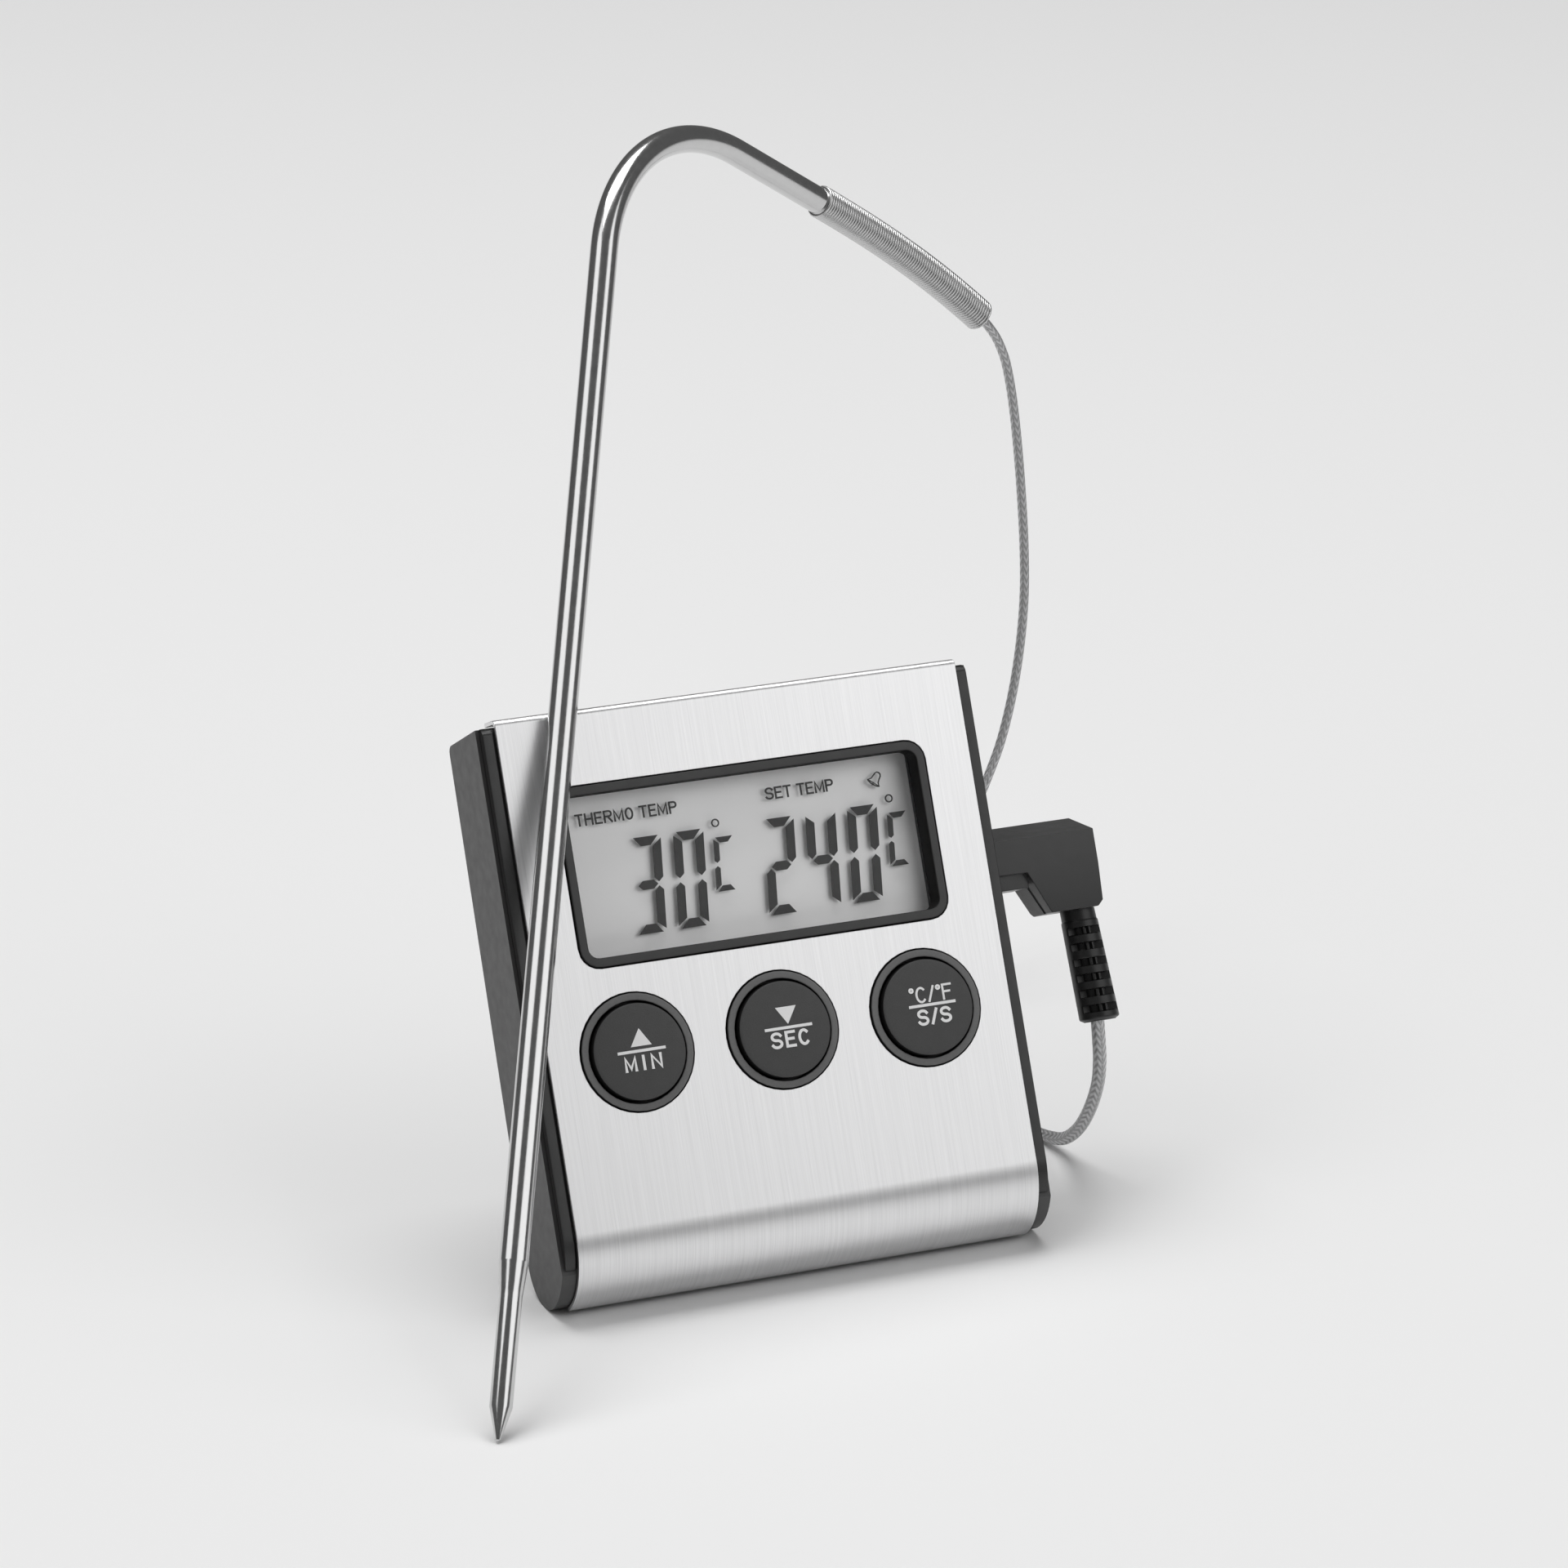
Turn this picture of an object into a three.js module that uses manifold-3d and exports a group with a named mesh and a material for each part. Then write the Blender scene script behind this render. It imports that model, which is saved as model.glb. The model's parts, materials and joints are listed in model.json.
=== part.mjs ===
// A digital meat thermometer: a countertop display unit that leans back on its fold-out stand,
// and a bent steel probe on a steel-braided cord that plugs into the unit's right side.
// Millimetres, +Z up. The display unit is built in its own frame and then leaned back:
// x across the face, y up the face, z out of the face, with y = 0 and z = 0 at the middle button
// on the steel's outer surface. The probe and the cord are built in the frame of the table,
// whose X and Y start under that same button.
import * as THREE from 'three';
import { mergeVertices } from 'three/addons/utils/BufferGeometryUtils.js';
import Module from 'manifold-3d';

const wasm = await Module();
wasm.setup();

// ---- driving dimensions ----
const LEAN = THREE.MathUtils.degToRad(25);   // how far the unit leans back from upright
const GAP = 0.3;                             // clearance between neighbouring pieces
const SEAM = 0.15;                           // visible joint line between the steel and the plastic

// Steel cover: a sheet with a small return at the top and a large bend at the bottom.
const STEEL_HALF = 34.7;
const STEEL_TOP = 48.3;
const SHEET = 0.6;
const STEEL_EDGE_R = 1.0;
const STEEL_RETURN_Z = -4.5;
const BEND = { y: -23.6, z: -10.4, r: 10.4 };
const BEND_END = THREE.MathUtils.degToRad(169.5);

// Plastic body: its front rims sit a little below the steel, its back is slightly inclined.
const RIM_HALF = 36.5;
const BODY_HALF = 36.9;
const RIM_SETBACK = 0.7;
const TOP_FRONT_Y = 47.4;
const TOP_BACK_Y = 46.6;
const TOP_BACK_Z = -15.0;
const HEEL = { y: -26.6, z: -9.7, r: 6.7 };
const HEEL_END = THREE.MathUtils.degToRad(-172);
const WALL = 1.5;
const SPLIT_FRONT_Z = -2.0;                  // back edge of the front frame
const SPLIT_REAR_Z = -2.3;                   // front edge of the rear housing

// Display and buttons.
const WINDOW = { half: 27.7, low: 12.3, high: 37.6, r: 2.8, band: 1.3 };
const WINDOW_DEPTH = 3.2;
const LCD_FRONT_Z = -3.5;
const LCD_THICK = 2.2;
const LCD_HALF = 26.9;
const BUTTON_PITCH = 21.7;
const RING_R = 8.24;
const RING_BORE_R = 7.14;
const CAP_R = 6.85;
const FLANGE_R = 7.9;
const BUTTON_NAMES = ['up_button', 'down_button', 'start_button'];

// Circuit board.
const BOARD = { half: 28.9, low: -10.8, high: 44.5, front: -7.2, thick: 1.2 };
const BOARD_BACK = BOARD.front - BOARD.thick;

// Battery bay in the lower back, and its hinged door.
const CELL = { y: -18.6, z: -8.9, r: 5.2, half: 22.2 };
const DOOR = { half: 24.5, low: -26.0, high: -10.8 };
const DOOR_THICK = 1.5;

// Fold-out stand on the back.
const PIVOT = { y: 8, z: -18.3 };
const STAND_OPEN = THREE.MathUtils.degToRad(55);   // from the unit's own downward direction
const STAND_THICK = 2.2;
const STAND_HALF_TOP = 18.5;
const STAND_HALF_FOOT = 16;
const STAND_LENGTH = 38.5;
const STAND_HEEL = 2.0;
const PIN_R = 1.1;
const PIN_END = 21.2;
const EAR = { inner: 19.0, outer: 21.4, r: 2.2, boreR: 1.45 };

// Probe jack and plug on the right side.
const JACK = { y: 18.3, z: -7.4, half: 3.2, barrelR: 2.8, boreR: 1.55, inner: 27.2, boreEnd: 27.6 };
const PIN = { r: 1.25, tip: 27.9, split: 30.5 };
const PLUG_WALL_X = BODY_HALF + GAP;
const SLEEVE = { x: 50.6, top: 10.4, end: -5.4, r: 2.6, collarR: 2.35 };

// Probe: a straight needle leaning on the unit's top edge, a quarter bend, an arm and a spring.
const PROBE_TIP = new THREE.Vector3(-57.66, -41.07, 0.3);
const NEEDLE_DIR = new THREE.Vector3(0.3118, 0.5726, 0.7583).normalize();
const ARM_HINT = new THREE.Vector3(0.801, 0.266, -0.536);
const TUBE_R = 2.0;
const TUBE_BORE_R = 1.6;
const NECK_R = 1.57;
const NECK_BORE_R = 1.1;
const CONE_LENGTH = 4.7;
const NECK_START = 20.0;
const NECK_END = 24.7;
const NEEDLE_LENGTH = 174.8;
const BEND_RADIUS = 26.2;
const ARM_LENGTH = 18.5;
const SPRING_LENGTH = 38.8;
const SPRING_SAG = 3.2;
const SPRING_SAG_POWER = 2.5;
const SPRING_R = 2.5;
const SPRING_BORE_R = 1.1;

// Steel-braided cord, 1.5 mm across and 1.0 m long, most of it in a coil behind the unit.
const CORD_R = 0.75;
const CORD_STEP = 4.2;
const COIL = { x: 30, y: 75, inner: 4.5, outer: 10.5, height: 6.0 };
const CORD_UPPER = [
  [72.3, 96.5, 104.7], [73.7, 96.8, 103.1], [75.1, 97.4, 101.3], [76.3, 97.9, 99.2],
  [77.5, 98.3, 96.1], [78.7, 98.5, 90.3], [79.7, 98.5, 82.3], [80.3, 98.2, 74.4],
  [80.6, 97.7, 66.5], [80.4, 97.0, 58.8], [79.4, 96.1, 51.1], [77.7, 95.0, 43.7],
  [75.3, 93.6, 37.0], [72.6, 92.2, 32.0], [69.3, 90.6, 26.9], [65.0, 88.7, 21.4],
  [59.7, 86.8, 16.4], [53.6, 85.0, 12.4], [47.0, 83.4, 9.5], [42.0, 82.3, 8.0],
];
const CORD_LOWER = [
  [20.15, 67.6, 3.4], [20.4, 63.4, 2.0], [21.7, 58.0, 1.1], [25.4, 52.6, 0.85],
  [31.4, 48.2, 0.8], [38.0, 44.2, 0.8], [43.8, 39.2, 0.8], [48.0, 33.6, 0.8],
  [50.6, 28.0, 0.9], [51.8, 23.0, 1.3], [52.3, 18.6, 2.7], [52.5, 14.2, 6.0],
  [52.4, 10.3, 10.6], [52.1, 7.2, 15.7], [51.6, 5.6, 20.0], [51.1, 4.9, 23.4],
  [50.75, 4.6, 25.9],
];

// ---- materials ----
const STEEL = { color: 0xc9cbcd, metalness: 1.0, roughness: 0.32 };
const BRIGHT_STEEL = { color: 0xd2d3d4, metalness: 1.0, roughness: 0.22 };
const BRAID = { color: 0x8d8f90, metalness: 0.9, roughness: 0.5 };
const BLACK_PLASTIC = { color: 0x2b2b2d, metalness: 0.0, roughness: 0.45 };
const GREY_PLASTIC = { color: 0x3a3a3c, metalness: 0.0, roughness: 0.55 };
const RUBBER = { color: 0x232324, metalness: 0.0, roughness: 0.75 };
const LCD_GREY = { color: 0xa9aca8, metalness: 0.0, roughness: 0.35 };
const CLEAR = { color: 0xe8eef0, metalness: 0.0, roughness: 0.05, transparent: true, opacity: 0.3 };
const BOARD_GREEN = { color: 0x1f5a38, metalness: 0.0, roughness: 0.5 };
const BRASS = { color: 0xc2a15a, metalness: 1.0, roughness: 0.35 };
const CELL_JACKET = { color: 0x4b5a66, metalness: 0.3, roughness: 0.4 };

// ---- helpers for closed solids ----
function toSolid(geometry) {
  const bare = geometry.clone();
  bare.deleteAttribute('normal');
  bare.deleteAttribute('uv');
  const merged = mergeVertices(bare, 1e-4);
  return new wasm.Manifold(new wasm.Mesh({
    numProp: 3,
    vertProperties: new Float32Array(merged.attributes.position.array),
    triVerts: new Uint32Array(merged.index.array),
  }));
}

function toGeometry(solid) {
  const mesh = solid.getMesh();
  const geometry = new THREE.BufferGeometry();
  geometry.setAttribute('position', new THREE.BufferAttribute(mesh.vertProperties, 3));
  geometry.setIndex(new THREE.BufferAttribute(mesh.triVerts, 1));
  return geometry;
}

function combine(base, added, removed) {
  let solid = toSolid(base);
  for (const piece of added) solid = solid.add(toSolid(piece));
  for (const piece of removed) solid = solid.subtract(toSolid(piece));
  return toGeometry(solid);
}

function keepCommon(base, other) {
  return toGeometry(toSolid(base).intersect(toSolid(other)));
}

function shapeOf(points) {
  return new THREE.Shape(points.map(([a, b]) => new THREE.Vector2(a, b)));
}

// An outline in x and y, extruded from z0 to z1.
function prismZ(shape, z0, z1) {
  const geometry = new THREE.ExtrudeGeometry(shape, {
    depth: z1 - z0, bevelEnabled: false, curveSegments: 6,
  });
  return geometry.translate(0, 0, z0);
}

// An outline in y and z, extruded from x0 to x1.
function prismX(points, x0, x1) {
  const geometry = new THREE.ExtrudeGeometry(shapeOf(points), { depth: x1 - x0, bevelEnabled: false });
  const cycle = new THREE.Matrix4().set(0, 0, 1, x0, 1, 0, 0, 0, 0, 1, 0, 0, 0, 0, 0, 1);
  return geometry.applyMatrix4(cycle);
}

function box(x0, x1, y0, y1, z0, z1) {
  const geometry = new THREE.BoxGeometry(x1 - x0, y1 - y0, z1 - z0);
  return geometry.translate((x0 + x1) / 2, (y0 + y1) / 2, (z0 + z1) / 2);
}

// A turned solid about an axis along z through (x, y), from [radius, z] points.
function turnedZ(points, x, y, sides = 24) {
  const outline = points.map(([r, z]) => new THREE.Vector2(r, z));
  return new THREE.LatheGeometry(outline, sides).rotateX(Math.PI / 2).translate(x, y, 0);
}

function cylinderZ(r, x, y, z0, z1, sides = 24) {
  return turnedZ([[0, z0], [r, z0], [r, z1], [0, z1]], x, y, sides);
}

// A turned solid about an axis along x through (y, z), from [radius, x] points.
function turnedX(points, y, z, sides = 16) {
  const outline = points.map(([r, x]) => new THREE.Vector2(r, x));
  return new THREE.LatheGeometry(outline, sides).rotateZ(-Math.PI / 2).translate(0, y, z);
}

function cylinderX(r, y, z, x0, x1, sides = 16) {
  return turnedX([[0, x0], [r, x0], [r, x1], [0, x1]], y, z, sides);
}

// Points on an arc; angles turn from the first coordinate towards the second.
function arcPoints(a0, b0, r, from, to, count) {
  const points = [];
  for (let i = 0; i <= count; i += 1) {
    const angle = from + ((to - from) * i) / count;
    points.push([a0 + r * Math.cos(angle), b0 + r * Math.sin(angle)]);
  }
  return points;
}

function roundedRect(half, low, high, r) {
  const quarter = Math.PI / 2;
  return shapeOf([
    ...arcPoints(half - r, low + r, r, -quarter, 0, 5),
    ...arcPoints(half - r, high - r, r, 0, quarter, 5),
    ...arcPoints(-half + r, high - r, r, quarter, 2 * quarter, 5),
    ...arcPoints(-half + r, low + r, r, 2 * quarter, 3 * quarter, 5),
  ]);
}

function disc(outerR, innerR) {
  const shape = new THREE.Shape();
  shape.absarc(0, 0, outerR, 0, 2 * Math.PI, false);
  if (innerR > 0) {
    const hole = new THREE.Path();
    hole.absarc(0, 0, innerR, 0, 2 * Math.PI, true);
    shape.holes.push(hole);
  }
  return shape;
}

// ---- side profiles, as [y, z] points ----
// The plastic body's outline seen from the side, moved inwards by inset.
function bodyProfile(inset) {
  const quarter = Math.PI / 2;
  const cornerR = Math.max(1.2 - inset, 0.2);
  const frontZ = -RIM_SETBACK - inset;
  const backZ = TOP_BACK_Z + inset;
  return [
    ...arcPoints(TOP_FRONT_Y - inset - cornerR, frontZ - cornerR, cornerR, quarter, 0, 4),
    ...arcPoints(TOP_BACK_Y - inset - cornerR, backZ + cornerR, cornerR, 0, -quarter, 4),
    ...arcPoints(HEEL.y, HEEL.z, HEEL.r - inset, -quarter, HEEL_END, 12),
    ...arcPoints(BEND.y, BEND.z, BEND.r - RIM_SETBACK - inset, 2 * quarter, quarter, 14),
  ];
}

// The steel sheet's outer surface seen from the side, moved inwards by depth.
function steelLine(depth) {
  const quarter = Math.PI / 2;
  const edgeR = Math.max(STEEL_EDGE_R - depth, 0.1);
  const edgeY = STEEL_TOP - depth - edgeR;
  return [
    [STEEL_TOP - depth, STEEL_RETURN_Z],
    ...arcPoints(edgeY, -depth - edgeR, edgeR, 0, quarter, 4),
    ...arcPoints(BEND.y, BEND.z, BEND.r - depth, quarter, BEND_END, 12),
  ];
}

function steelBand(outside, inside) {
  return [...steelLine(-outside), ...steelLine(inside).reverse()];
}

function backZ(y) {
  const lowZ = HEEL.z - HEEL.r;
  const topY = TOP_BACK_Y - 1.2;
  return lowZ + ((TOP_BACK_Z - lowZ) * (y - HEEL.y)) / (topY - HEEL.y);
}

// ---- the housing ----
const SCREW_SPOTS = [[-31.9, 42.4], [31.9, 42.4], [-31.6, -21.5], [31.6, -21.5]];
const BOARD_SCREW_SPOTS = [[-25.4, 41.6], [25.4, 41.6]];
const SCREW = { shankR: 1.0, boreR: 1.3, headR: 1.9, head: 0.8, sink: 1.0, bossR: 2.6, depth: 7 };
const BUZZER = { x: -16, y: 29, r: 8, z0: -13.0, z1: -12.2, holeR: 0.8, holeRing: 3 };
const SWITCH = { x: 18, y: 33.5, travel: 3, half: 1.6, halfY: 1.7 };
const CLEARANCE_DEPTH = SHEET + GAP;

function windowCut(margin, z0, z1) {
  const w = WINDOW;
  return prismZ(roundedRect(w.half + margin, w.low - margin, w.high + margin, w.r + margin), z0, z1);
}

function buttonX(index) {
  return (index - 1) * BUTTON_PITCH;
}

function steelCover() {
  const cuts = [windowCut(SEAM, -3, 2)];
  for (let i = 0; i < 3; i += 1) cuts.push(cylinderZ(RING_R + SEAM, buttonX(i), 0, -3, 2, 40));
  return combine(prismX(steelBand(0, SHEET), -STEEL_HALF, STEEL_HALF), [], cuts);
}

function frontFrame() {
  const tray = keepCommon(
    prismX(bodyProfile(0), -RIM_HALF, RIM_HALF),
    box(-60, 60, -60, 60, SPLIT_FRONT_Z, 10),
  );
  const steelRoom = STEEL_HALF + SEAM;
  const shell = combine(tray, [], [prismX(steelBand(2, CLEARANCE_DEPTH), -steelRoom, steelRoom)]);
  const added = [windowCut(0, -WINDOW_DEPTH, 0.25)];
  const removed = [windowCut(-WINDOW.band, -6, 2)];
  for (let i = 0; i < 3; i += 1) {
    added.push(cylinderZ(RING_R, buttonX(i), 0, SPLIT_FRONT_Z, 0.35, 40));
    removed.push(cylinderZ(RING_BORE_R, buttonX(i), 0, -6, 2, 40));
  }
  for (const [x, y] of SCREW_SPOTS) {
    const end = backZ(y) + WALL + GAP;
    added.push(cylinderZ(SCREW.bossR, x, y, end, SPLIT_FRONT_Z + 0.5, 16));
    removed.push(cylinderZ(SCREW.boreR, x, y, end - 1, end + SCREW.depth, 12));
  }
  for (const [x, y] of BOARD_SCREW_SPOTS) {
    added.push(cylinderZ(2.0, x, y, BOARD.front + GAP, SPLIT_FRONT_Z + 0.5, 16));
    removed.push(cylinderZ(1.1, x, y, BOARD.front - 1, BOARD.front + 4, 12));
  }
  return combine(shell, added, removed);
}

function standEar(side) {
  const x0 = side > 0 ? EAR.inner : -EAR.outer;
  const x1 = side > 0 ? EAR.outer : -EAR.inner;
  const root = backZ(PIVOT.y) + 0.5;
  const outline = [
    [PIVOT.y + EAR.r + 2, root],
    [PIVOT.y - EAR.r - 2, root],
    ...arcPoints(PIVOT.y, PIVOT.z, EAR.r, -Math.PI, 0, 8),
  ];
  return prismX(outline, x0, x1);
}

function rearHousing() {
  const outer = keepCommon(
    prismX(bodyProfile(0), -BODY_HALF, BODY_HALF),
    box(-60, 60, -60, 60, -40, SPLIT_REAR_Z),
  );
  const steelRoom = STEEL_HALF + SEAM;
  const removed = [
    prismX(bodyProfile(WALL), WALL - BODY_HALF, BODY_HALF - WALL),
    prismX(steelBand(2, CLEARANCE_DEPTH), -steelRoom, steelRoom),
    box(-DOOR.half - GAP, DOOR.half + GAP, DOOR.low - 0.5, DOOR.high + GAP, -20, -14),
    cylinderX(JACK.barrelR + GAP, JACK.y, JACK.z, 34, 40, 24),
    box(SWITCH.x - SWITCH.half - GAP, SWITCH.x + SWITCH.half + SWITCH.travel + GAP,
      SWITCH.y - SWITCH.halfY - GAP, SWITCH.y + SWITCH.halfY + GAP, -20, -12),
    cylinderX(EAR.boreR, PIVOT.y, PIVOT.z, -30, 30, 16),
  ];
  for (const [x, y] of SCREW_SPOTS) {
    removed.push(cylinderZ(SCREW.boreR, x, y, -20, -12, 16));
    removed.push(cylinderZ(SCREW.headR + GAP, x, y, -20, backZ(y) + SCREW.sink, 20));
  }
  for (let i = 0; i < 6; i += 1) {
    const angle = (i * Math.PI) / 3;
    const x = BUZZER.x + BUZZER.holeRing * Math.cos(angle);
    const y = BUZZER.y + BUZZER.holeRing * Math.sin(angle);
    removed.push(cylinderZ(BUZZER.holeR, x, y, -20, -12, 10));
  }
  return combine(outer, [standEar(-1), standEar(1)], removed);
}

function housingScrew([x, y]) {
  const face = backZ(y) + SCREW.sink;
  return turnedZ([
    [0, face - SCREW.head], [SCREW.headR, face - SCREW.head], [SCREW.headR, face - 0.15],
    [SCREW.shankR, face - 0.15], [SCREW.shankR, face + 6], [0, face + 7],
  ], x, y, 16);
}

function boardScrew([x, y]) {
  const face = BOARD_BACK - GAP;
  return turnedZ([
    [0, face - 0.9], [1.7, face - 0.9], [1.7, face], [0.8, face],
    [0.8, BOARD.front + 3], [0, BOARD.front + 3.6],
  ], x, y, 12);
}

// ---- display, buttons and electronics ----
function lcdWindow() {
  const inset = WINDOW.band + GAP;
  return windowCut(-inset, -1.4, -0.4);
}

function circuitBoard() {
  const plate = box(-BOARD.half, BOARD.half, BOARD.low, BOARD.high, BOARD_BACK, BOARD.front);
  const jackRoom = JACK.half + 0.9;
  const removed = [box(JACK.inner - GAP, 40, JACK.y - jackRoom, JACK.y + jackRoom, -12, -4)];
  for (const [x, y] of BOARD_SCREW_SPOTS) removed.push(cylinderZ(1.3, x, y, -12, -4, 12));
  return combine(plate, [], removed);
}

function chipBlob() {
  const base = BOARD_BACK - GAP;
  const arc = arcPoints(0, 0, 1, 0, Math.PI / 2, 5).map(([a, b]) => [5.5 * a, base - 1.6 * b]);
  return turnedZ([[0, base - 1.6], ...arc.slice(0, -1).reverse(), [0, base]], 0, 26, 20);
}

function keySwitch(index) {
  const x = buttonX(index);
  const base = BOARD.front + GAP;
  return combine(box(x - 2.25, x + 2.25, -2.25, 2.25, base, base + 0.8),
    [cylinderZ(1.3, x, 0, base + 0.4, base + 1.2, 12)], []);
}

function buttonCap(index) {
  return turnedZ([
    [0, -4.4], [2.0, -4.4], [2.0, -3.3], [FLANGE_R, -3.3], [FLANGE_R, -2.5], [CAP_R, -2.5],
    [CAP_R, 0.75], [CAP_R - 0.15, 1.05], [CAP_R - 0.5, 1.2], [4, 1.32], [0, 1.4],
  ], buttonX(index), 0, 40);
}

function modeSwitchBody() {
  return box(SWITCH.x - 4.5, SWITCH.x + 7.5, SWITCH.y - 2.6, SWITCH.y + 2.6, -12.0, BOARD_BACK - GAP);
}

function modeSwitchKnob() {
  const { x, y, half, halfY } = SWITCH;
  const outside = backZ(y) - 0.7;
  return combine(box(x - half, x + half, y - halfY, y + halfY, outside, -12.4),
    [box(x - 4.2, x + 4.2, y - halfY - 1, y + halfY + 1, -13.2, -12.4)], []);
}

function probeJack() {
  const { y, z, half, inner } = JACK;
  return combine(box(inner, BODY_HALF - WALL - GAP, y - half, y + half, z - half, z + half),
    [cylinderX(JACK.barrelR, y, z, 34, BODY_HALF, 24)],
    [cylinderX(JACK.boreR, y, z, JACK.boreEnd, 40, 16)]);
}

// ---- battery bay ----
function batteryCell() {
  const { y, z, r, half } = CELL;
  return turnedX([
    [0, -half], [3.2, -half], [r, -half + 0.4], [r, half - 1.6], [r - 0.5, half - 1.2],
    [1.9, half - 1.2], [1.9, half], [0, half],
  ], y, z, 24);
}

function batterySpring() {
  const inner = -CELL.half - GAP;
  return turnedX([
    [0, inner - 2.6], [4.4, inner - 2.6], [4.4, inner - 2.1], [3.6, inner - 1.9], [2.2, inner], [0, inner],
  ], CELL.y, CELL.z, 16);
}

function batteryContact() {
  const inner = CELL.half + GAP;
  return box(inner, inner + 0.6, CELL.y - 3.5, CELL.y + 3.5, CELL.z - 3.5, CELL.z + 3.8);
}

function batteryDoor() {
  const outline = [
    [DOOR.low, backZ(DOOR.low)], [DOOR.high, backZ(DOOR.high)],
    [DOOR.high, backZ(DOOR.high) + DOOR_THICK], [DOOR.low, backZ(DOOR.low) + DOOR_THICK],
  ];
  return prismX(outline, -DOOR.half, DOOR.half);
}

// ---- the stand: a tapered flap with a rounded foot, a stop heel and two pivot pins ----
function stand() {
  const half = STAND_THICK / 2;
  const flap = prismX([
    [STAND_HEEL, -half], [STAND_HEEL, half],
    ...arcPoints(-STAND_LENGTH, 0, half, Math.PI / 2, (3 * Math.PI) / 2, 8),
  ], -STAND_HALF_TOP, STAND_HALF_TOP);
  const sides = prismZ(shapeOf([
    [STAND_HALF_TOP, STAND_HEEL + 1], [-STAND_HALF_TOP, STAND_HEEL + 1], [-STAND_HALF_TOP, -4],
    [-STAND_HALF_FOOT, -STAND_LENGTH - 2], [STAND_HALF_FOOT, -STAND_LENGTH - 2], [STAND_HALF_TOP, -4],
  ]), -3, 3);
  const geometry = combine(keepCommon(flap, sides), [cylinderX(PIN_R, 0, 0, -PIN_END, PIN_END, 16)], []);
  return geometry.rotateX(STAND_OPEN).translate(0, PIVOT.y, PIVOT.z);
}

// ---- the plug, in the unit's frame ----
function plugBody() {
  const crease = 16.9;   // the notch's upper edge, and the height where the front face starts to slope
  const front = prismZ(shapeOf([
    [PLUG_WALL_X, 26], [53, 26], [53, 11.5], [52.2, 10.7], [44.9, 10.7],
    [41.8, crease], [PLUG_WALL_X, crease],
  ]), -11.5, -3.3);
  const side = prismX([
    [21.8, -3.3], [crease, -3.3], [10.7, -3.9], [10.7, -11.0], [11.2, -11.5],
    [23.9, -11.5], [24.1, -11.2],
  ], 30, 60);
  const neck = box(PLUG_WALL_X, 42.2, 14.7, 21.6, -10.8, -4.4);
  return combine(keepCommon(front, side), [neck], []);
}

function plugSleeve() {
  const { x, top, end, r, collarR } = SLEEVE;
  const outline = [
    [0, end], [r - 0.5, end], [r, end + 0.5], [r, top - 2.2], [collarR, top - 2.0], [collarR, top], [0, top],
  ].map(([radius, y]) => new THREE.Vector2(radius, y));
  return new THREE.LatheGeometry(outline, 20).translate(x, 0, JACK.z);
}

function plugPin() {
  return cylinderX(PIN.r, JACK.y, JACK.z, PIN.split, PLUG_WALL_X - 0.1, 16);
}

function plugPinTip() {
  return turnedX([
    [0, PIN.tip], [0.6, PIN.tip], [PIN.r - 0.1, PIN.tip + 0.9], [PIN.r - 0.35, PIN.tip + 1.5],
    [PIN.r, PIN.split - GAP], [0, PIN.split - GAP],
  ], JACK.y, JACK.z, 16);
}

// ---- the probe, in the table's frame ----
const ARM_DIR = ARM_HINT.clone().addScaledVector(NEEDLE_DIR, -ARM_HINT.dot(NEEDLE_DIR)).normalize();
const BEND_START = PROBE_TIP.clone().addScaledVector(NEEDLE_DIR, NEEDLE_LENGTH);
const BEND_LENGTH = (BEND_RADIUS * Math.PI) / 2;
const ARM_START = BEND_START.clone()
  .addScaledVector(ARM_DIR, BEND_RADIUS)
  .addScaledVector(NEEDLE_DIR, BEND_RADIUS);
const ARM_END = ARM_START.clone().addScaledVector(ARM_DIR, ARM_LENGTH);

// A point on the tube's centre line, s millimetres from the tip.
function needlePoint(s) {
  if (s <= NEEDLE_LENGTH) return PROBE_TIP.clone().addScaledVector(NEEDLE_DIR, s);
  const turned = (s - NEEDLE_LENGTH) / BEND_RADIUS;
  if (turned >= Math.PI / 2) {
    return ARM_START.clone().addScaledVector(ARM_DIR, s - NEEDLE_LENGTH - BEND_LENGTH);
  }
  return BEND_START.clone()
    .addScaledVector(ARM_DIR, BEND_RADIUS * (1 - Math.cos(turned)))
    .addScaledVector(NEEDLE_DIR, BEND_RADIUS * Math.sin(turned));
}

// The tube's centre line with stations only where it bends.
class NeedleCurve extends THREE.Curve {
  constructor(start, end, bendSteps) {
    super();
    this.stations = [start];
    for (let i = 0; i <= bendSteps; i += 1) {
      this.stations.push(NEEDLE_LENGTH + (BEND_LENGTH * i) / bendSteps);
    }
    this.stations.push(end);
  }

  getPoint(t) {
    const spans = this.stations.length - 1;
    const span = Math.min(Math.floor(t * spans), spans - 1);
    const [from, to] = [this.stations[span], this.stations[span + 1]];
    return needlePoint(from + (to - from) * (t * spans - span));
  }

  getPointAt(u) {
    return this.getPoint(u);
  }

  getTangentAt(u) {
    return this.getTangent(u);
  }
}

class SpringCurve extends THREE.Curve {
  getPoint(t) {
    const start = GAP + t * (SPRING_LENGTH - GAP);
    const sag = SPRING_SAG * (start / SPRING_LENGTH) ** SPRING_SAG_POWER;
    return ARM_END.clone().addScaledVector(ARM_DIR, start).add(new THREE.Vector3(0, 0, -sag));
  }
}

function tubeAlong(curve, steps, outerR, innerR, sides) {
  return new THREE.ExtrudeGeometry(disc(outerR, innerR), {
    steps, curveSegments: sides / 2, bevelEnabled: false, extrudePath: curve,
  });
}

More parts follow.
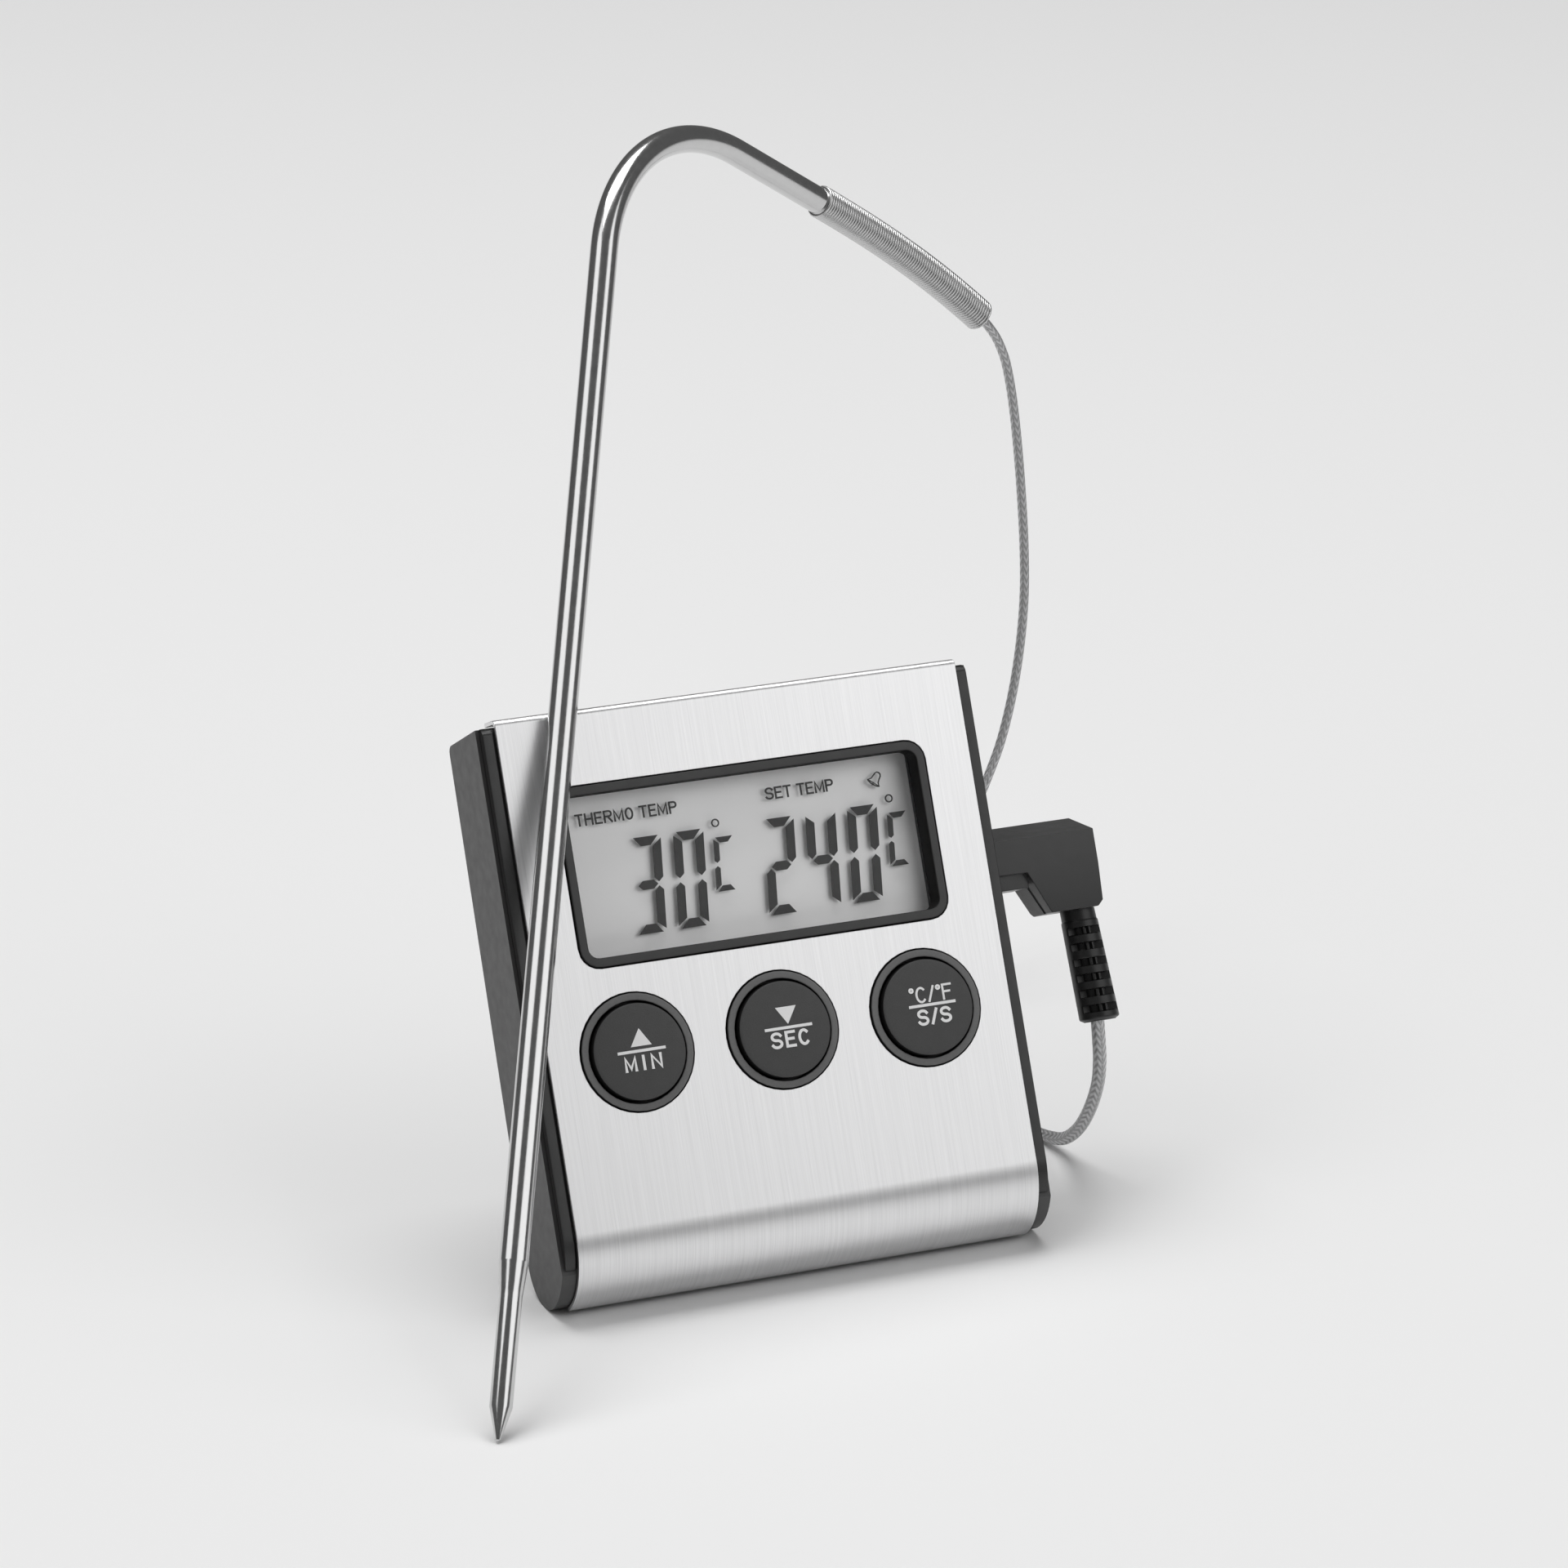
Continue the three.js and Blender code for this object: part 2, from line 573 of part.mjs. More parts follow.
function probeShaft() {
  const bendSteps = 12;
  const end = NEEDLE_LENGTH + BEND_LENGTH + ARM_LENGTH;
  return tubeAlong(new NeedleCurve(NECK_END + 0.15, end, bendSteps), bendSteps + 2, TUBE_R, TUBE_BORE_R, 20);
}

function alongNeedle(geometry) {
  const turn = new THREE.Quaternion().setFromUnitVectors(new THREE.Vector3(0, 1, 0), NEEDLE_DIR);
  return geometry.applyQuaternion(turn).translate(PROBE_TIP.x, PROBE_TIP.y, PROBE_TIP.z);
}

function probeTip() {
  const outline = [
    [0, 0], [0.35, 0.1], [NECK_R, CONE_LENGTH], [NECK_R, NECK_START], [TUBE_R, NECK_END - 0.15],
    [NECK_BORE_R, NECK_END - 0.15], [NECK_BORE_R, CONE_LENGTH + 1], [0, CONE_LENGTH + 1],
  ].map(([r, s]) => new THREE.Vector2(r, s));
  return alongNeedle(new THREE.LatheGeometry(outline, 16));
}

function thermistor() {
  return alongNeedle(new THREE.SphereGeometry(0.75, 10, 8).translate(0, CONE_LENGTH + 2.4, 0));
}

function probeSpring() {
  return tubeAlong(new SpringCurve(), 10, SPRING_R, SPRING_BORE_R, 16);
}

// ---- the cord ----
function cordTube(points) {
  const curve = new THREE.CatmullRomCurve3(points.map((p) => new THREE.Vector3(...p)), false, 'centripetal');
  const steps = Math.round(curve.getLength() / CORD_STEP);
  return tubeAlong(curve, steps, CORD_R, 0, 8);
}

function cordCoil() {
  const outline = [
    [COIL.inner, 0], [COIL.outer, 0], [COIL.outer, COIL.height], [COIL.inner, COIL.height], [COIL.inner, 0],
  ].map(([r, z]) => new THREE.Vector2(r, z));
  return new THREE.LatheGeometry(outline, 24).rotateX(Math.PI / 2).translate(COIL.x, COIL.y, 0);
}

// ---- assembly ----
const group = new THREE.Group();
const unit = new THREE.Group();
const tableDrop = HEEL.r - HEEL.y * Math.cos(LEAN) - HEEL.z * Math.sin(LEAN);
unit.rotation.x = Math.PI / 2 - LEAN;
unit.position.z = tableDrop;
group.add(unit);

function addTo(parent, name, geometry, look) {
  const mesh = new THREE.Mesh(geometry, new THREE.MeshStandardMaterial(look));
  mesh.name = name;
  parent.add(mesh);
}

addTo(unit, 'steel_front_cover', steelCover(), STEEL);
addTo(unit, 'front_frame', frontFrame(), BLACK_PLASTIC);
addTo(unit, 'rear_housing', rearHousing(), GREY_PLASTIC);
addTo(unit, 'lcd_window', lcdWindow(), CLEAR);
addTo(unit, 'lcd_panel', box(-LCD_HALF, LCD_HALF, WINDOW.low + 0.7, WINDOW.high - 0.7,
  LCD_FRONT_Z - LCD_THICK, LCD_FRONT_Z), LCD_GREY);
const LCD_BACK_Z = LCD_FRONT_Z - LCD_THICK;
addTo(unit, 'lcd_connector', box(-24, 24, 13.6, 15.6, BOARD.front + GAP, LCD_BACK_Z - GAP), RUBBER);
addTo(unit, 'circuit_board', circuitBoard(), BOARD_GREEN);
addTo(unit, 'controller_chip', chipBlob(), BLACK_PLASTIC);
addTo(unit, 'buzzer', cylinderZ(BUZZER.r, BUZZER.x, BUZZER.y, BUZZER.z0, BUZZER.z1), BRASS);
addTo(unit, 'probe_jack', probeJack(), BLACK_PLASTIC);
addTo(unit, 'mode_switch_body', modeSwitchBody(), STEEL);
addTo(unit, 'mode_switch_knob', modeSwitchKnob(), BLACK_PLASTIC);
addTo(unit, 'battery_cell', batteryCell(), CELL_JACKET);
addTo(unit, 'battery_spring', batterySpring(), BRIGHT_STEEL);
addTo(unit, 'battery_contact', batteryContact(), BRIGHT_STEEL);
addTo(unit, 'battery_door', batteryDoor(), GREY_PLASTIC);
addTo(unit, 'stand', stand(), GREY_PLASTIC);
BUTTON_NAMES.forEach((name, i) => {
  addTo(unit, name, buttonCap(i), RUBBER);
  addTo(unit, `key_switch_${i + 1}`, keySwitch(i), STEEL);
});
SCREW_SPOTS.forEach((spot, i) => addTo(unit, `housing_screw_${i + 1}`, housingScrew(spot), BRIGHT_STEEL));
BOARD_SCREW_SPOTS.forEach((spot, i) => addTo(unit, `board_screw_${i + 1}`, boardScrew(spot), BRIGHT_STEEL));

addTo(unit, 'plug_body', plugBody(), BLACK_PLASTIC);
addTo(unit, 'plug_sleeve', plugSleeve(), RUBBER);
addTo(unit, 'plug_pin', plugPin(), BRIGHT_STEEL);
addTo(unit, 'plug_pin_tip', plugPinTip(), BRIGHT_STEEL);
addTo(group, 'probe_shaft', probeShaft(), BRIGHT_STEEL);
addTo(group, 'probe_tip', probeTip(), BRIGHT_STEEL);
addTo(group, 'thermistor', thermistor(), BRASS);
addTo(group, 'probe_spring', probeSpring(), STEEL);
addTo(group, 'cord_upper', cordTube(CORD_UPPER), BRAID);
addTo(group, 'cord_coil', cordCoil(), BRAID);
addTo(group, 'cord_lower', cordTube(CORD_LOWER), BRAID);

// The origin is at the middle of the underside of everything but the cord and its plug.
const ON_THE_CORD = ['plug_body', 'plug_sleeve', 'plug_pin', 'plug_pin_tip',
  'cord_upper', 'cord_coil', 'cord_lower'];
group.updateMatrixWorld(true);
const extent = new THREE.Box3();
group.traverse((node) => {
  if (node.isMesh && !ON_THE_CORD.includes(node.name)) extent.expandByObject(node, true);
});
const centre = extent.getCenter(new THREE.Vector3());
group.position.set(-centre.x, -centre.y, -extent.min.z);

export default group;
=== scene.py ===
"""A digital meat thermometer: the display unit leaning on its stand, and its bent probe."""
import json
import math

import bmesh
import bpy
from mathutils import Matrix, Vector

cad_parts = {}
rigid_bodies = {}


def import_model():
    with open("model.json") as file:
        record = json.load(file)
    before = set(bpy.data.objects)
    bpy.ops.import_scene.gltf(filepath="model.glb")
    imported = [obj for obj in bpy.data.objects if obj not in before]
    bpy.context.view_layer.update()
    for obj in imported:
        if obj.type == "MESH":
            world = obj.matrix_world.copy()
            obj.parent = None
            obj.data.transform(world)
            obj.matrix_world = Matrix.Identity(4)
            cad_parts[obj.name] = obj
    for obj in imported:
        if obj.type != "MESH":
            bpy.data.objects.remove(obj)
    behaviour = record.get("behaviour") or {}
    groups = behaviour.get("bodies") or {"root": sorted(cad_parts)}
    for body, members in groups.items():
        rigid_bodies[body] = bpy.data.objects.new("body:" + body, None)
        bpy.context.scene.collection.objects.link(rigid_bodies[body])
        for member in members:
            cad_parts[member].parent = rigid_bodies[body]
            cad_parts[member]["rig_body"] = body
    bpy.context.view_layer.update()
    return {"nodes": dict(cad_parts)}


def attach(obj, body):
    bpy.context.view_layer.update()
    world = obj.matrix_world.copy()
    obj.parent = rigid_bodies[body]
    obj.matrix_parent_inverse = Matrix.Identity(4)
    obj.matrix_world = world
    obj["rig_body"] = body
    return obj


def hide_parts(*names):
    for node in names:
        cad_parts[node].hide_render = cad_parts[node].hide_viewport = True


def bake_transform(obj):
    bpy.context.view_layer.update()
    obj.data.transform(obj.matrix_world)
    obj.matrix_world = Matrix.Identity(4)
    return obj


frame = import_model()
NODES = frame["nodes"]

# ---- places and sizes, in metres unless a line says otherwise ----
MM = 0.001
LEAN = math.radians(25)
ORIGIN = Vector((-0.007901, -0.028783, 0.000009))   # the table point under the middle button
BUTTON_HEIGHT = 0.034907                            # of the middle button's centre, above the table
UNIT = (
    Matrix.Translation(ORIGIN + Vector((0, 0, BUTTON_HEIGHT)))
    @ Matrix.Rotation(math.pi / 2 - LEAN, 4, "X")
)
BUTTON_PITCH = 21.7           # millimetres
CAP_R = 6.80                  # millimetres
CORD_D = 0.0015
SLEEVE_X = 50.6               # the strain relief's axis, in the unit's frame, in millimetres
SLEEVE_Z = -7.4

COIL = Vector((0.030, 0.075, 0.0))
COIL_INNER = 0.00525
COIL_LAYERS = 4
COIL_COLUMNS = 4
CORD_UPPER = [
    (0.0723, 0.0965, 0.1047), (0.0737, 0.0968, 0.1031), (0.0751, 0.0974, 0.1013),
    (0.0763, 0.0979, 0.0992), (0.0775, 0.0983, 0.0961), (0.0787, 0.0985, 0.0903),
    (0.0797, 0.0985, 0.0823), (0.0803, 0.0982, 0.0744), (0.0806, 0.0977, 0.0665),
    (0.0804, 0.0970, 0.0588), (0.0794, 0.0961, 0.0511), (0.0777, 0.0950, 0.0437),
    (0.0753, 0.0936, 0.0370), (0.0726, 0.0922, 0.0320), (0.0693, 0.0906, 0.0269),
    (0.0650, 0.0887, 0.0214), (0.0597, 0.0868, 0.0164), (0.0536, 0.0850, 0.0124),
    (0.0470, 0.0834, 0.0095), (0.0420, 0.0823, 0.0080),
]
CORD_LOWER = [
    (0.02015, 0.0676, 0.0034), (0.0204, 0.0634, 0.0020), (0.0217, 0.0580, 0.0011),
    (0.0254, 0.0526, 0.00085), (0.0314, 0.0482, 0.0008), (0.0380, 0.0442, 0.0008),
    (0.0438, 0.0392, 0.0008), (0.0480, 0.0336, 0.0008), (0.0506, 0.0280, 0.0009),
    (0.0518, 0.0230, 0.0013), (0.0523, 0.0186, 0.0027), (0.0525, 0.0142, 0.0060),
    (0.0524, 0.0103, 0.0106), (0.0521, 0.0072, 0.0157), (0.0516, 0.0056, 0.0200),
    (0.0511, 0.0049, 0.0234), (0.05075, 0.0046, 0.0259),
]

# The probe, in the table's frame before ORIGIN is added.
TIP = Vector((-0.05766, -0.04107, 0.0003))
NEEDLE = Vector((0.3118, 0.5726, 0.7583)).normalized()
ARM_HINT = Vector((0.801, 0.266, -0.536))
ARM = (ARM_HINT - NEEDLE * ARM_HINT.dot(NEEDLE)).normalized()
TUBE_R = 0.0020
NECK_R = 0.00157
STRAIGHT = 0.1748
BEND_R = 0.0262
ARM_LENGTH = 0.0185
BEND_LENGTH = BEND_R * math.pi / 2
ARM_START = TIP + NEEDLE * (STRAIGHT + BEND_R) + ARM * BEND_R
ARM_END = ARM_START + ARM * ARM_LENGTH
SPRING_LENGTH = 0.0388
SPRING_SAG = 0.0032
SPRING_R = 0.00224            # to the middle of the wire
SPRING_WIRE_R = 0.00026
SPRING_CORE_R = 0.00205
POINT_LENGTH = 0.0247         # of the reduced tip, up to the full tube


# ---- camera ----
def make_camera():
    data = bpy.data.cameras.new("camera")
    data.lens = 150
    data.sensor_width = 36
    data.clip_start = 0.05
    data.clip_end = 20
    camera = bpy.data.objects.new("camera", data)
    bpy.context.scene.collection.objects.link(camera)
    camera.location = ORIGIN + Vector((-0.3205, -0.7816, 0.3784))
    forward = Vector((0.3568, 0.8695, -0.3416))
    camera.rotation_euler = forward.to_track_quat("-Z", "Y").to_euler()
    bpy.context.scene.camera = camera


make_camera()


# ---- material helpers ----
def new_material(name):
    material = bpy.data.materials.new(name)
    material.use_nodes = True
    nodes = material.node_tree.nodes
    shader = nodes["Principled BSDF"]
    return material, nodes, material.node_tree.links, shader


def object_coords(nodes, links, scale=(1, 1, 1)):
    coords = nodes.new("ShaderNodeTexCoord")
    mapping = nodes.new("ShaderNodeMapping")
    mapping.inputs["Scale"].default_value = scale
    links.new(coords.outputs["Object"], mapping.inputs["Vector"])
    return mapping.outputs["Vector"]


def noise(nodes, links, vector, scale, detail=3.0):
    texture = nodes.new("ShaderNodeTexNoise")
    texture.inputs["Scale"].default_value = scale
    texture.inputs["Detail"].default_value = detail
    links.new(vector, texture.inputs["Vector"])
    return texture.outputs["Fac"]


def ramp(nodes, links, value, low_value, high_value):
    spread = nodes.new("ShaderNodeMapRange")
    spread.inputs["From Min"].default_value = 0.3
    spread.inputs["From Max"].default_value = 0.7
    spread.inputs["To Min"].default_value = low_value
    spread.inputs["To Max"].default_value = high_value
    links.new(value, spread.inputs["Value"])
    return spread.outputs["Result"]


def tint(nodes, links, value, dark, light):
    mix = nodes.new("ShaderNodeMix")
    mix.data_type = "RGBA"
    mix.inputs["A"].default_value = (*dark, 1)
    mix.inputs["B"].default_value = (*light, 1)
    links.new(value, mix.inputs["Factor"])
    return mix.outputs["Result"]


def add_bump(nodes, links, height, shader, distance):
    bump = nodes.new("ShaderNodeBump")
    bump.inputs["Strength"].default_value = 1.0
    bump.inputs["Distance"].default_value = distance
    links.new(height, bump.inputs["Height"])
    links.new(bump.outputs["Normal"], shader.inputs["Normal"])


def calc(nodes, links, operation, *values):
    """One math node; each value is a number or a socket."""
    node = nodes.new("ShaderNodeMath")
    node.operation = operation
    for socket, value in zip(node.inputs, values):
        if isinstance(value, (int, float)):
            socket.default_value = value
        else:
            links.new(value, socket)
    return node.outputs[0]


def mottled(name, dark, light, roughness, metallic, scale, grain=0.0):
    """A material whose colour and roughness vary a little, with an optional fine grain."""
    material, nodes, links, shader = new_material(name)
    vector = object_coords(nodes, links)
    value = noise(nodes, links, vector, scale)
    links.new(tint(nodes, links, value, dark, light), shader.inputs["Base Color"])
    links.new(ramp(nodes, links, value, roughness[0], roughness[1]), shader.inputs["Roughness"])
    shader.inputs["Metallic"].default_value = metallic
    if grain:
        fine = noise(nodes, links, vector, scale * 8, 2.0)
        add_bump(nodes, links, fine, shader, grain)
    return material


def grey(value, spread=0.08):
    return (value * (1 - spread),) * 3, (value * (1 + spread),) * 3


# ---- materials ----
FINE_STREAKS = (8600, 60, 60)
BROAD_STREAKS = (2600, 30, 30)
# The two limits below mark where the moulding's colour gets a painted highlight on the raised rings
RING_TOP_Y = 0.0095           # the raised rings lie below this height on the unit's face
RING_FLOOR_Z = 0.0001         # and stand out farther than this
BRAID_COLUMNS = 4.0
BRAID_PITCH = 0.0013          # length of cord from one plait to the next


def brushed_steel():
    """Brushed up and down the face: long streaks in y, fine ones over broad ones."""
    material, nodes, links, shader = new_material("brushed_steel")
    fine = noise(nodes, links, object_coords(nodes, links, FINE_STREAKS), 1.0)
    broad = noise(nodes, links, object_coords(nodes, links, BROAD_STREAKS), 1.0)
    streaks = calc(nodes, links, "MULTIPLY_ADD", broad, 0.5, calc(nodes, links, "MULTIPLY", fine, 0.5))
    links.new(tint(nodes, links, streaks, (0.60, 0.60, 0.605), (0.98, 0.98, 0.985)),
              shader.inputs["Base Color"])
    links.new(ramp(nodes, links, broad, 0.335, 0.365), shader.inputs["Roughness"])
    shader.inputs["Metallic"].default_value = 1.0
    add_bump(nodes, links, fine, shader, 0.000002)
    return material


def moulded(name, wall_shade, face, roughness, scale=500.0, grain=0.000004, ring=None):
    """Black moulding, which needs a mesh in the unit's frame: faces that look forward have a soft gloss, and
    the walls round them are dull and painted darker as painted shade. The raised rings' forward faces can be
    painted lighter as a painted highlight."""
    material, nodes, links, shader = new_material(name)
    vector = object_coords(nodes, links)
    fine = noise(nodes, links, vector, scale * 8, 2.0)
    split = nodes.new("ShaderNodeSeparateXYZ")
    coords = nodes.new("ShaderNodeTexCoord")
    links.new(coords.outputs["Normal"], split.inputs["Vector"])
    forward = nodes.new("ShaderNodeMapRange")
    forward.inputs["From Min"].default_value = 0.45
    forward.inputs["From Max"].default_value = 0.90
    links.new(split.outputs["Z"], forward.inputs["Value"])
    # Painted shade: the colour runs from the dark wall tone on side walls to the face tone on forward faces,
    # with a fine grain
    level = calc(nodes, links, "MULTIPLY", forward.outputs["Result"], ramp(nodes, links, fine, 0.86, 1.0))
    # Painted highlight: on the raised rings the forward faces are painted lighter, up to the ring tone
    if ring:
        place = nodes.new("ShaderNodeSeparateXYZ")
        links.new(vector, place.inputs["Vector"])
        low = calc(nodes, links, "LESS_THAN", place.outputs["Y"], RING_TOP_Y)
        raised = calc(nodes, links, "GREATER_THAN", place.outputs["Z"], RING_FLOOR_Z)
        share = (face - wall_shade) / (ring - wall_shade)
        ring_highlight = calc(nodes, links, "MULTIPLY", low, calc(nodes, links, "MULTIPLY", raised, 1 - share))
        level = calc(nodes, links, "MULTIPLY", level, calc(nodes, links, "ADD", ring_highlight, share))
    links.new(tint(nodes, links, level, (wall_shade,) * 3, (ring or face,) * 3), shader.inputs["Base Color"])
    gloss = ramp(nodes, links, noise(nodes, links, vector, scale), *roughness)
    dull = calc(nodes, links, "MULTIPLY_ADD", forward.outputs["Result"], -0.35, 0.35)
    links.new(calc(nodes, links, "ADD", gloss, dull), shader.inputs["Roughness"])
    specular = calc(nodes, links, "MULTIPLY_ADD", forward.outputs["Result"], 0.38, 0.12)
    links.new(specular, shader.inputs["Specular IOR Level"])
    add_bump(nodes, links, fine, shader, grain)
    return material


def braid_material():
    """Woven wire: four columns of V-shaped plaits round the cord, in the tube's own coordinates."""
    material, nodes, links, shader = new_material("cord_braid")
    coords = nodes.new("ShaderNodeUVMap")
    coords.uv_map = "along"
    split = nodes.new("ShaderNodeSeparateXYZ")
    links.new(coords.outputs["UV"], split.inputs["Vector"])
    around = calc(nodes, links, "MULTIPLY", split.outputs["X"], BRAID_COLUMNS)
    column = calc(nodes, links, "FRACT", around)
    from_middle = calc(nodes, links, "ABSOLUTE", calc(nodes, links, "SUBTRACT", column, 0.5))
    aside = calc(nodes, links, "MULTIPLY", from_middle, 2.0)
    phase = calc(nodes, links, "MULTIPLY_ADD", aside, 0.95, split.outputs["Y"])
    plait = calc(nodes, links, "SINE", calc(nodes, links, "MULTIPLY", phase, 2 * math.pi))
    wires = calc(nodes, links, "SINE", calc(nodes, links, "MULTIPLY", phase, 8 * math.pi))
    edge = calc(nodes, links, "POWER", aside, 4.0)
    wire_level = calc(nodes, links, "MULTIPLY_ADD", wires, 0.13, 0.60)
    weave = calc(nodes, links, "MULTIPLY_ADD", plait, 0.26, wire_level)
    gap = calc(nodes, links, "MULTIPLY", edge, calc(nodes, links, "MAXIMUM", plait, 0.0))
    level = calc(nodes, links, "MULTIPLY_ADD", gap, -0.75, weave)
    links.new(tint(nodes, links, level, (0.12, 0.12, 0.12), (0.78, 0.78, 0.79)), shader.inputs["Base Color"])
    shader.inputs["Metallic"].default_value = 0.75
    shader.inputs["Roughness"].default_value = 0.42
    add_bump(nodes, links, level, shader, 0.00010)
    return material


def clear_material():
    """Clear window: see-through, with a faint gloss that a little dust breaks up."""
    material, nodes, links, shader = new_material("clear_window")
    dust = noise(nodes, links, object_coords(nodes, links), 900)
    links.new(ramp(nodes, links, dust, 0.03, 0.09), shader.inputs["Roughness"])
    shader.inputs["Base Color"].default_value = (0.02, 0.02, 0.02, 1)
    shader.inputs["Alpha"].default_value = 0.02
    return material


STEEL = brushed_steel()
BRAID = braid_material()
WINDOW = clear_material()
PROBE_STEEL = mottled("probe_steel", *grey(0.60, 0.05), (0.15, 0.19), 1.0, 900)
SPRING_STEEL = mottled("spring_steel", *grey(0.60), (0.26, 0.34), 1.0, 500)
SCREW_STEEL = mottled("screw_steel", *grey(0.55), (0.25, 0.35), 1.0, 500)
CONTACT = mottled("contact_metal", *grey(0.66), (0.2, 0.3), 1.0, 500)
# The frame's walls are painted darker as painted shade, and its raised rings lighter as a painted highlight
FRAME_BLACK = moulded("frame_black", 0.008, 0.027, (0.30, 0.36), ring=0.15)
REAR_BLACK = mottled("rear_black", *grey(0.058), (0.42, 0.52), 0.0, 600, 0.000008)
# The caps' side walls are painted near black as painted shade
CAP_BLACK = moulded("cap_black", 0.004, 0.062, (0.50, 0.58), 700, 0.000016)
PLUG_BLACK = mottled("plug_black", *grey(0.030), (0.30, 0.36), 0.0, 600, 0.000006)
SLEEVE_BLACK = mottled("sleeve_black", *grey(0.012), (0.34, 0.42), 0.0, 600, 0.000006)
LEGEND = mottled("legend_white", *grey(0.95, 0.02), (0.5, 0.6), 0.0, 900)
LCD_BACK = mottled("lcd_back", *grey(0.95, 0.02), (0.50, 0.58), 0.6, 4500)
LCD_INK = mottled("lcd_ink", *grey(0.062), (0.5, 0.6), 0.0, 900)
RUBBER = mottled("elastomer", *grey(0.012), (0.6, 0.7), 0.0, 500)
BOARD = mottled("board_green", (0.015, 0.12, 0.05), (0.02, 0.17, 0.07), (0.35, 0.45), 0.0, 300)
RESIN = mottled("resin", *grey(0.015), (0.2, 0.3), 0.0, 300)
BRASS = mottled("brass", (0.62, 0.45, 0.20), (0.70, 0.53, 0.26), (0.25, 0.35), 1.0, 400)
JACKET = mottled("cell_jacket", (0.10, 0.13, 0.17), (0.13, 0.16, 0.20), (0.3, 0.4), 0.3, 300)
TIE = mottled("tie", *grey(0.02), (0.5, 0.6), 0.0, 500)


# ---- mesh helpers ----
BEVEL_SEGMENTS = 2
WELD = 0.000002               # points nearer than this are one
FLAT = math.radians(0.6)      # faces that meet flatter than this are one


def shown(obj, material, body, replaced=()):
    obj.data.materials.clear()
    obj.data.materials.append(material)
    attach(obj, body)
    if replaced:
        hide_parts(*replaced)
    return obj


def mesh_object(name, points, faces, matrix=UNIT):
    """A mesh from points in millimetres."""
    mesh = bpy.data.meshes.new(name)
    mesh.from_pydata([Vector(p) * MM for p in points], [], faces)
    tidy = bmesh.new()
    tidy.from_mesh(mesh)
    bmesh.ops.recalc_face_normals(tidy, faces=tidy.faces)
    tidy.to_mesh(mesh)
    tidy.free()
    obj = bpy.data.objects.new(name, mesh)
    bpy.context.scene.collection.objects.link(obj)
    obj.matrix_world = matrix
    return obj


def join(name, objects):
    bpy.ops.object.select_all(action="DESELECT")
    for obj in objects:
        obj.select_set(True)
    bpy.context.view_layer.objects.active = objects[0]
    bpy.ops.object.join()
    objects[0].name = name
    return objects[0]


def smooth(obj, degrees):
    obj.data.shade_smooth()
    obj.data.set_sharp_from_angle(angle=math.radians(degrees))


def carve(obj, cutter):
    """Cut one object's shape out of another, for good."""
    cut = obj.modifiers.new("cut", "BOOLEAN")
    cut.operation = "DIFFERENCE"
    cut.solver = "EXACT"
    cut.object = cutter
    bpy.context.view_layer.update()
    carved = bpy.data.meshes.new_from_object(obj.evaluated_get(bpy.context.evaluated_depsgraph_get()))
    obj.modifiers.clear()
    obj.data = carved
    bpy.data.objects.remove(cutter)


def soften(obj, width, degrees, clamp):
    """Round the sharp edges, and keep the flat faces flat."""
    obj.data.shade_smooth()
    bevel = obj.modifiers.new("bevel", "BEVEL")
    bevel.width = width
    bevel.segments = BEVEL_SEGMENTS
    bevel.limit_method = "ANGLE"
    bevel.angle_limit = math.radians(degrees)
    bevel.use_clamp_overlap = clamp
    weigh = obj.modifiers.new("weigh", "WEIGHTED_NORMAL")
    weigh.keep_sharp = False


def refine(node, material, width, degrees=32, clamp=False, cutter=None, place=UNIT):
    """A copy of a CAD node with softened edges, which stands for it. A cutter is taken out of it first.
    Its mesh is kept in the frame of place, which its material's coordinates follow."""
    source = NODES[node]
    obj = bpy.data.objects.new(node + "_detail", source.data.copy())
    bpy.context.scene.collection.objects.link(obj)
    mesh = bmesh.new()
    mesh.from_mesh(obj.data)
    bmesh.ops.transform(mesh, matrix=place.inverted(), verts=mesh.verts)
    bmesh.ops.remove_doubles(mesh, verts=mesh.verts, dist=WELD)
    bmesh.ops.dissolve_limit(mesh, angle_limit=FLAT, verts=mesh.verts, edges=mesh.edges)
    mesh.to_mesh(obj.data)
    mesh.free()
    if obj.data.has_custom_normals:   # the CAD's own normals no longer fit
        obj.data.normals_split_custom_set([(0, 0, 0)] * len(obj.data.loops))
    obj.matrix_world = place
    if cutter:
        carve(obj, cutter)
    soften(obj, width, degrees, clamp)
    return shown(obj, material, source["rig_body"], [node])


def turned(name, outline, place, sides):
    """A solid of revolution from (radius, height) points in millimetres that start and end on the axis."""
    points = []
    faces = []
    rings = []
    for radius, height in outline:
        if radius < 1e-6:
            rings.append([len(points)])
            points.append((0, 0, height))
            continue
        rings.append(range(len(points), len(points) + sides))
        for i in range(sides):
            angle = 2 * math.pi * i / sides
            points.append((radius * math.cos(angle), radius * math.sin(angle), height))
    for one, two in zip(rings, rings[1:]):
        for i in range(sides):
            j = (i + 1) % sides
            corners = [one[i % len(one)], one[j % len(one)], two[j % len(two)], two[i % len(two)]]
            faces.append(list(dict.fromkeys(corners)))
    return mesh_object(name, points, faces, place)


def slab(outline, z0, z1, name="slab"):
    """A flat outline in x and y, in millimetres, given a thickness."""
    count = len(outline)
    points = [(x, y, z0) for x, y in outline] + [(x, y, z1) for x, y in outline]
    faces = [list(range(count)), list(range(count, 2 * count))]
    for i in range(count):
        j = (i + 1) % count
        faces.append([i, j, count + j, count + i])
    return mesh_object(name, points, faces)


def box(x0, x1, y0, y1, z0, z1, name="slab"):
    return slab([(x0, y0), (x1, y0), (x1, y1), (x0, y1)], z0, z1, name)


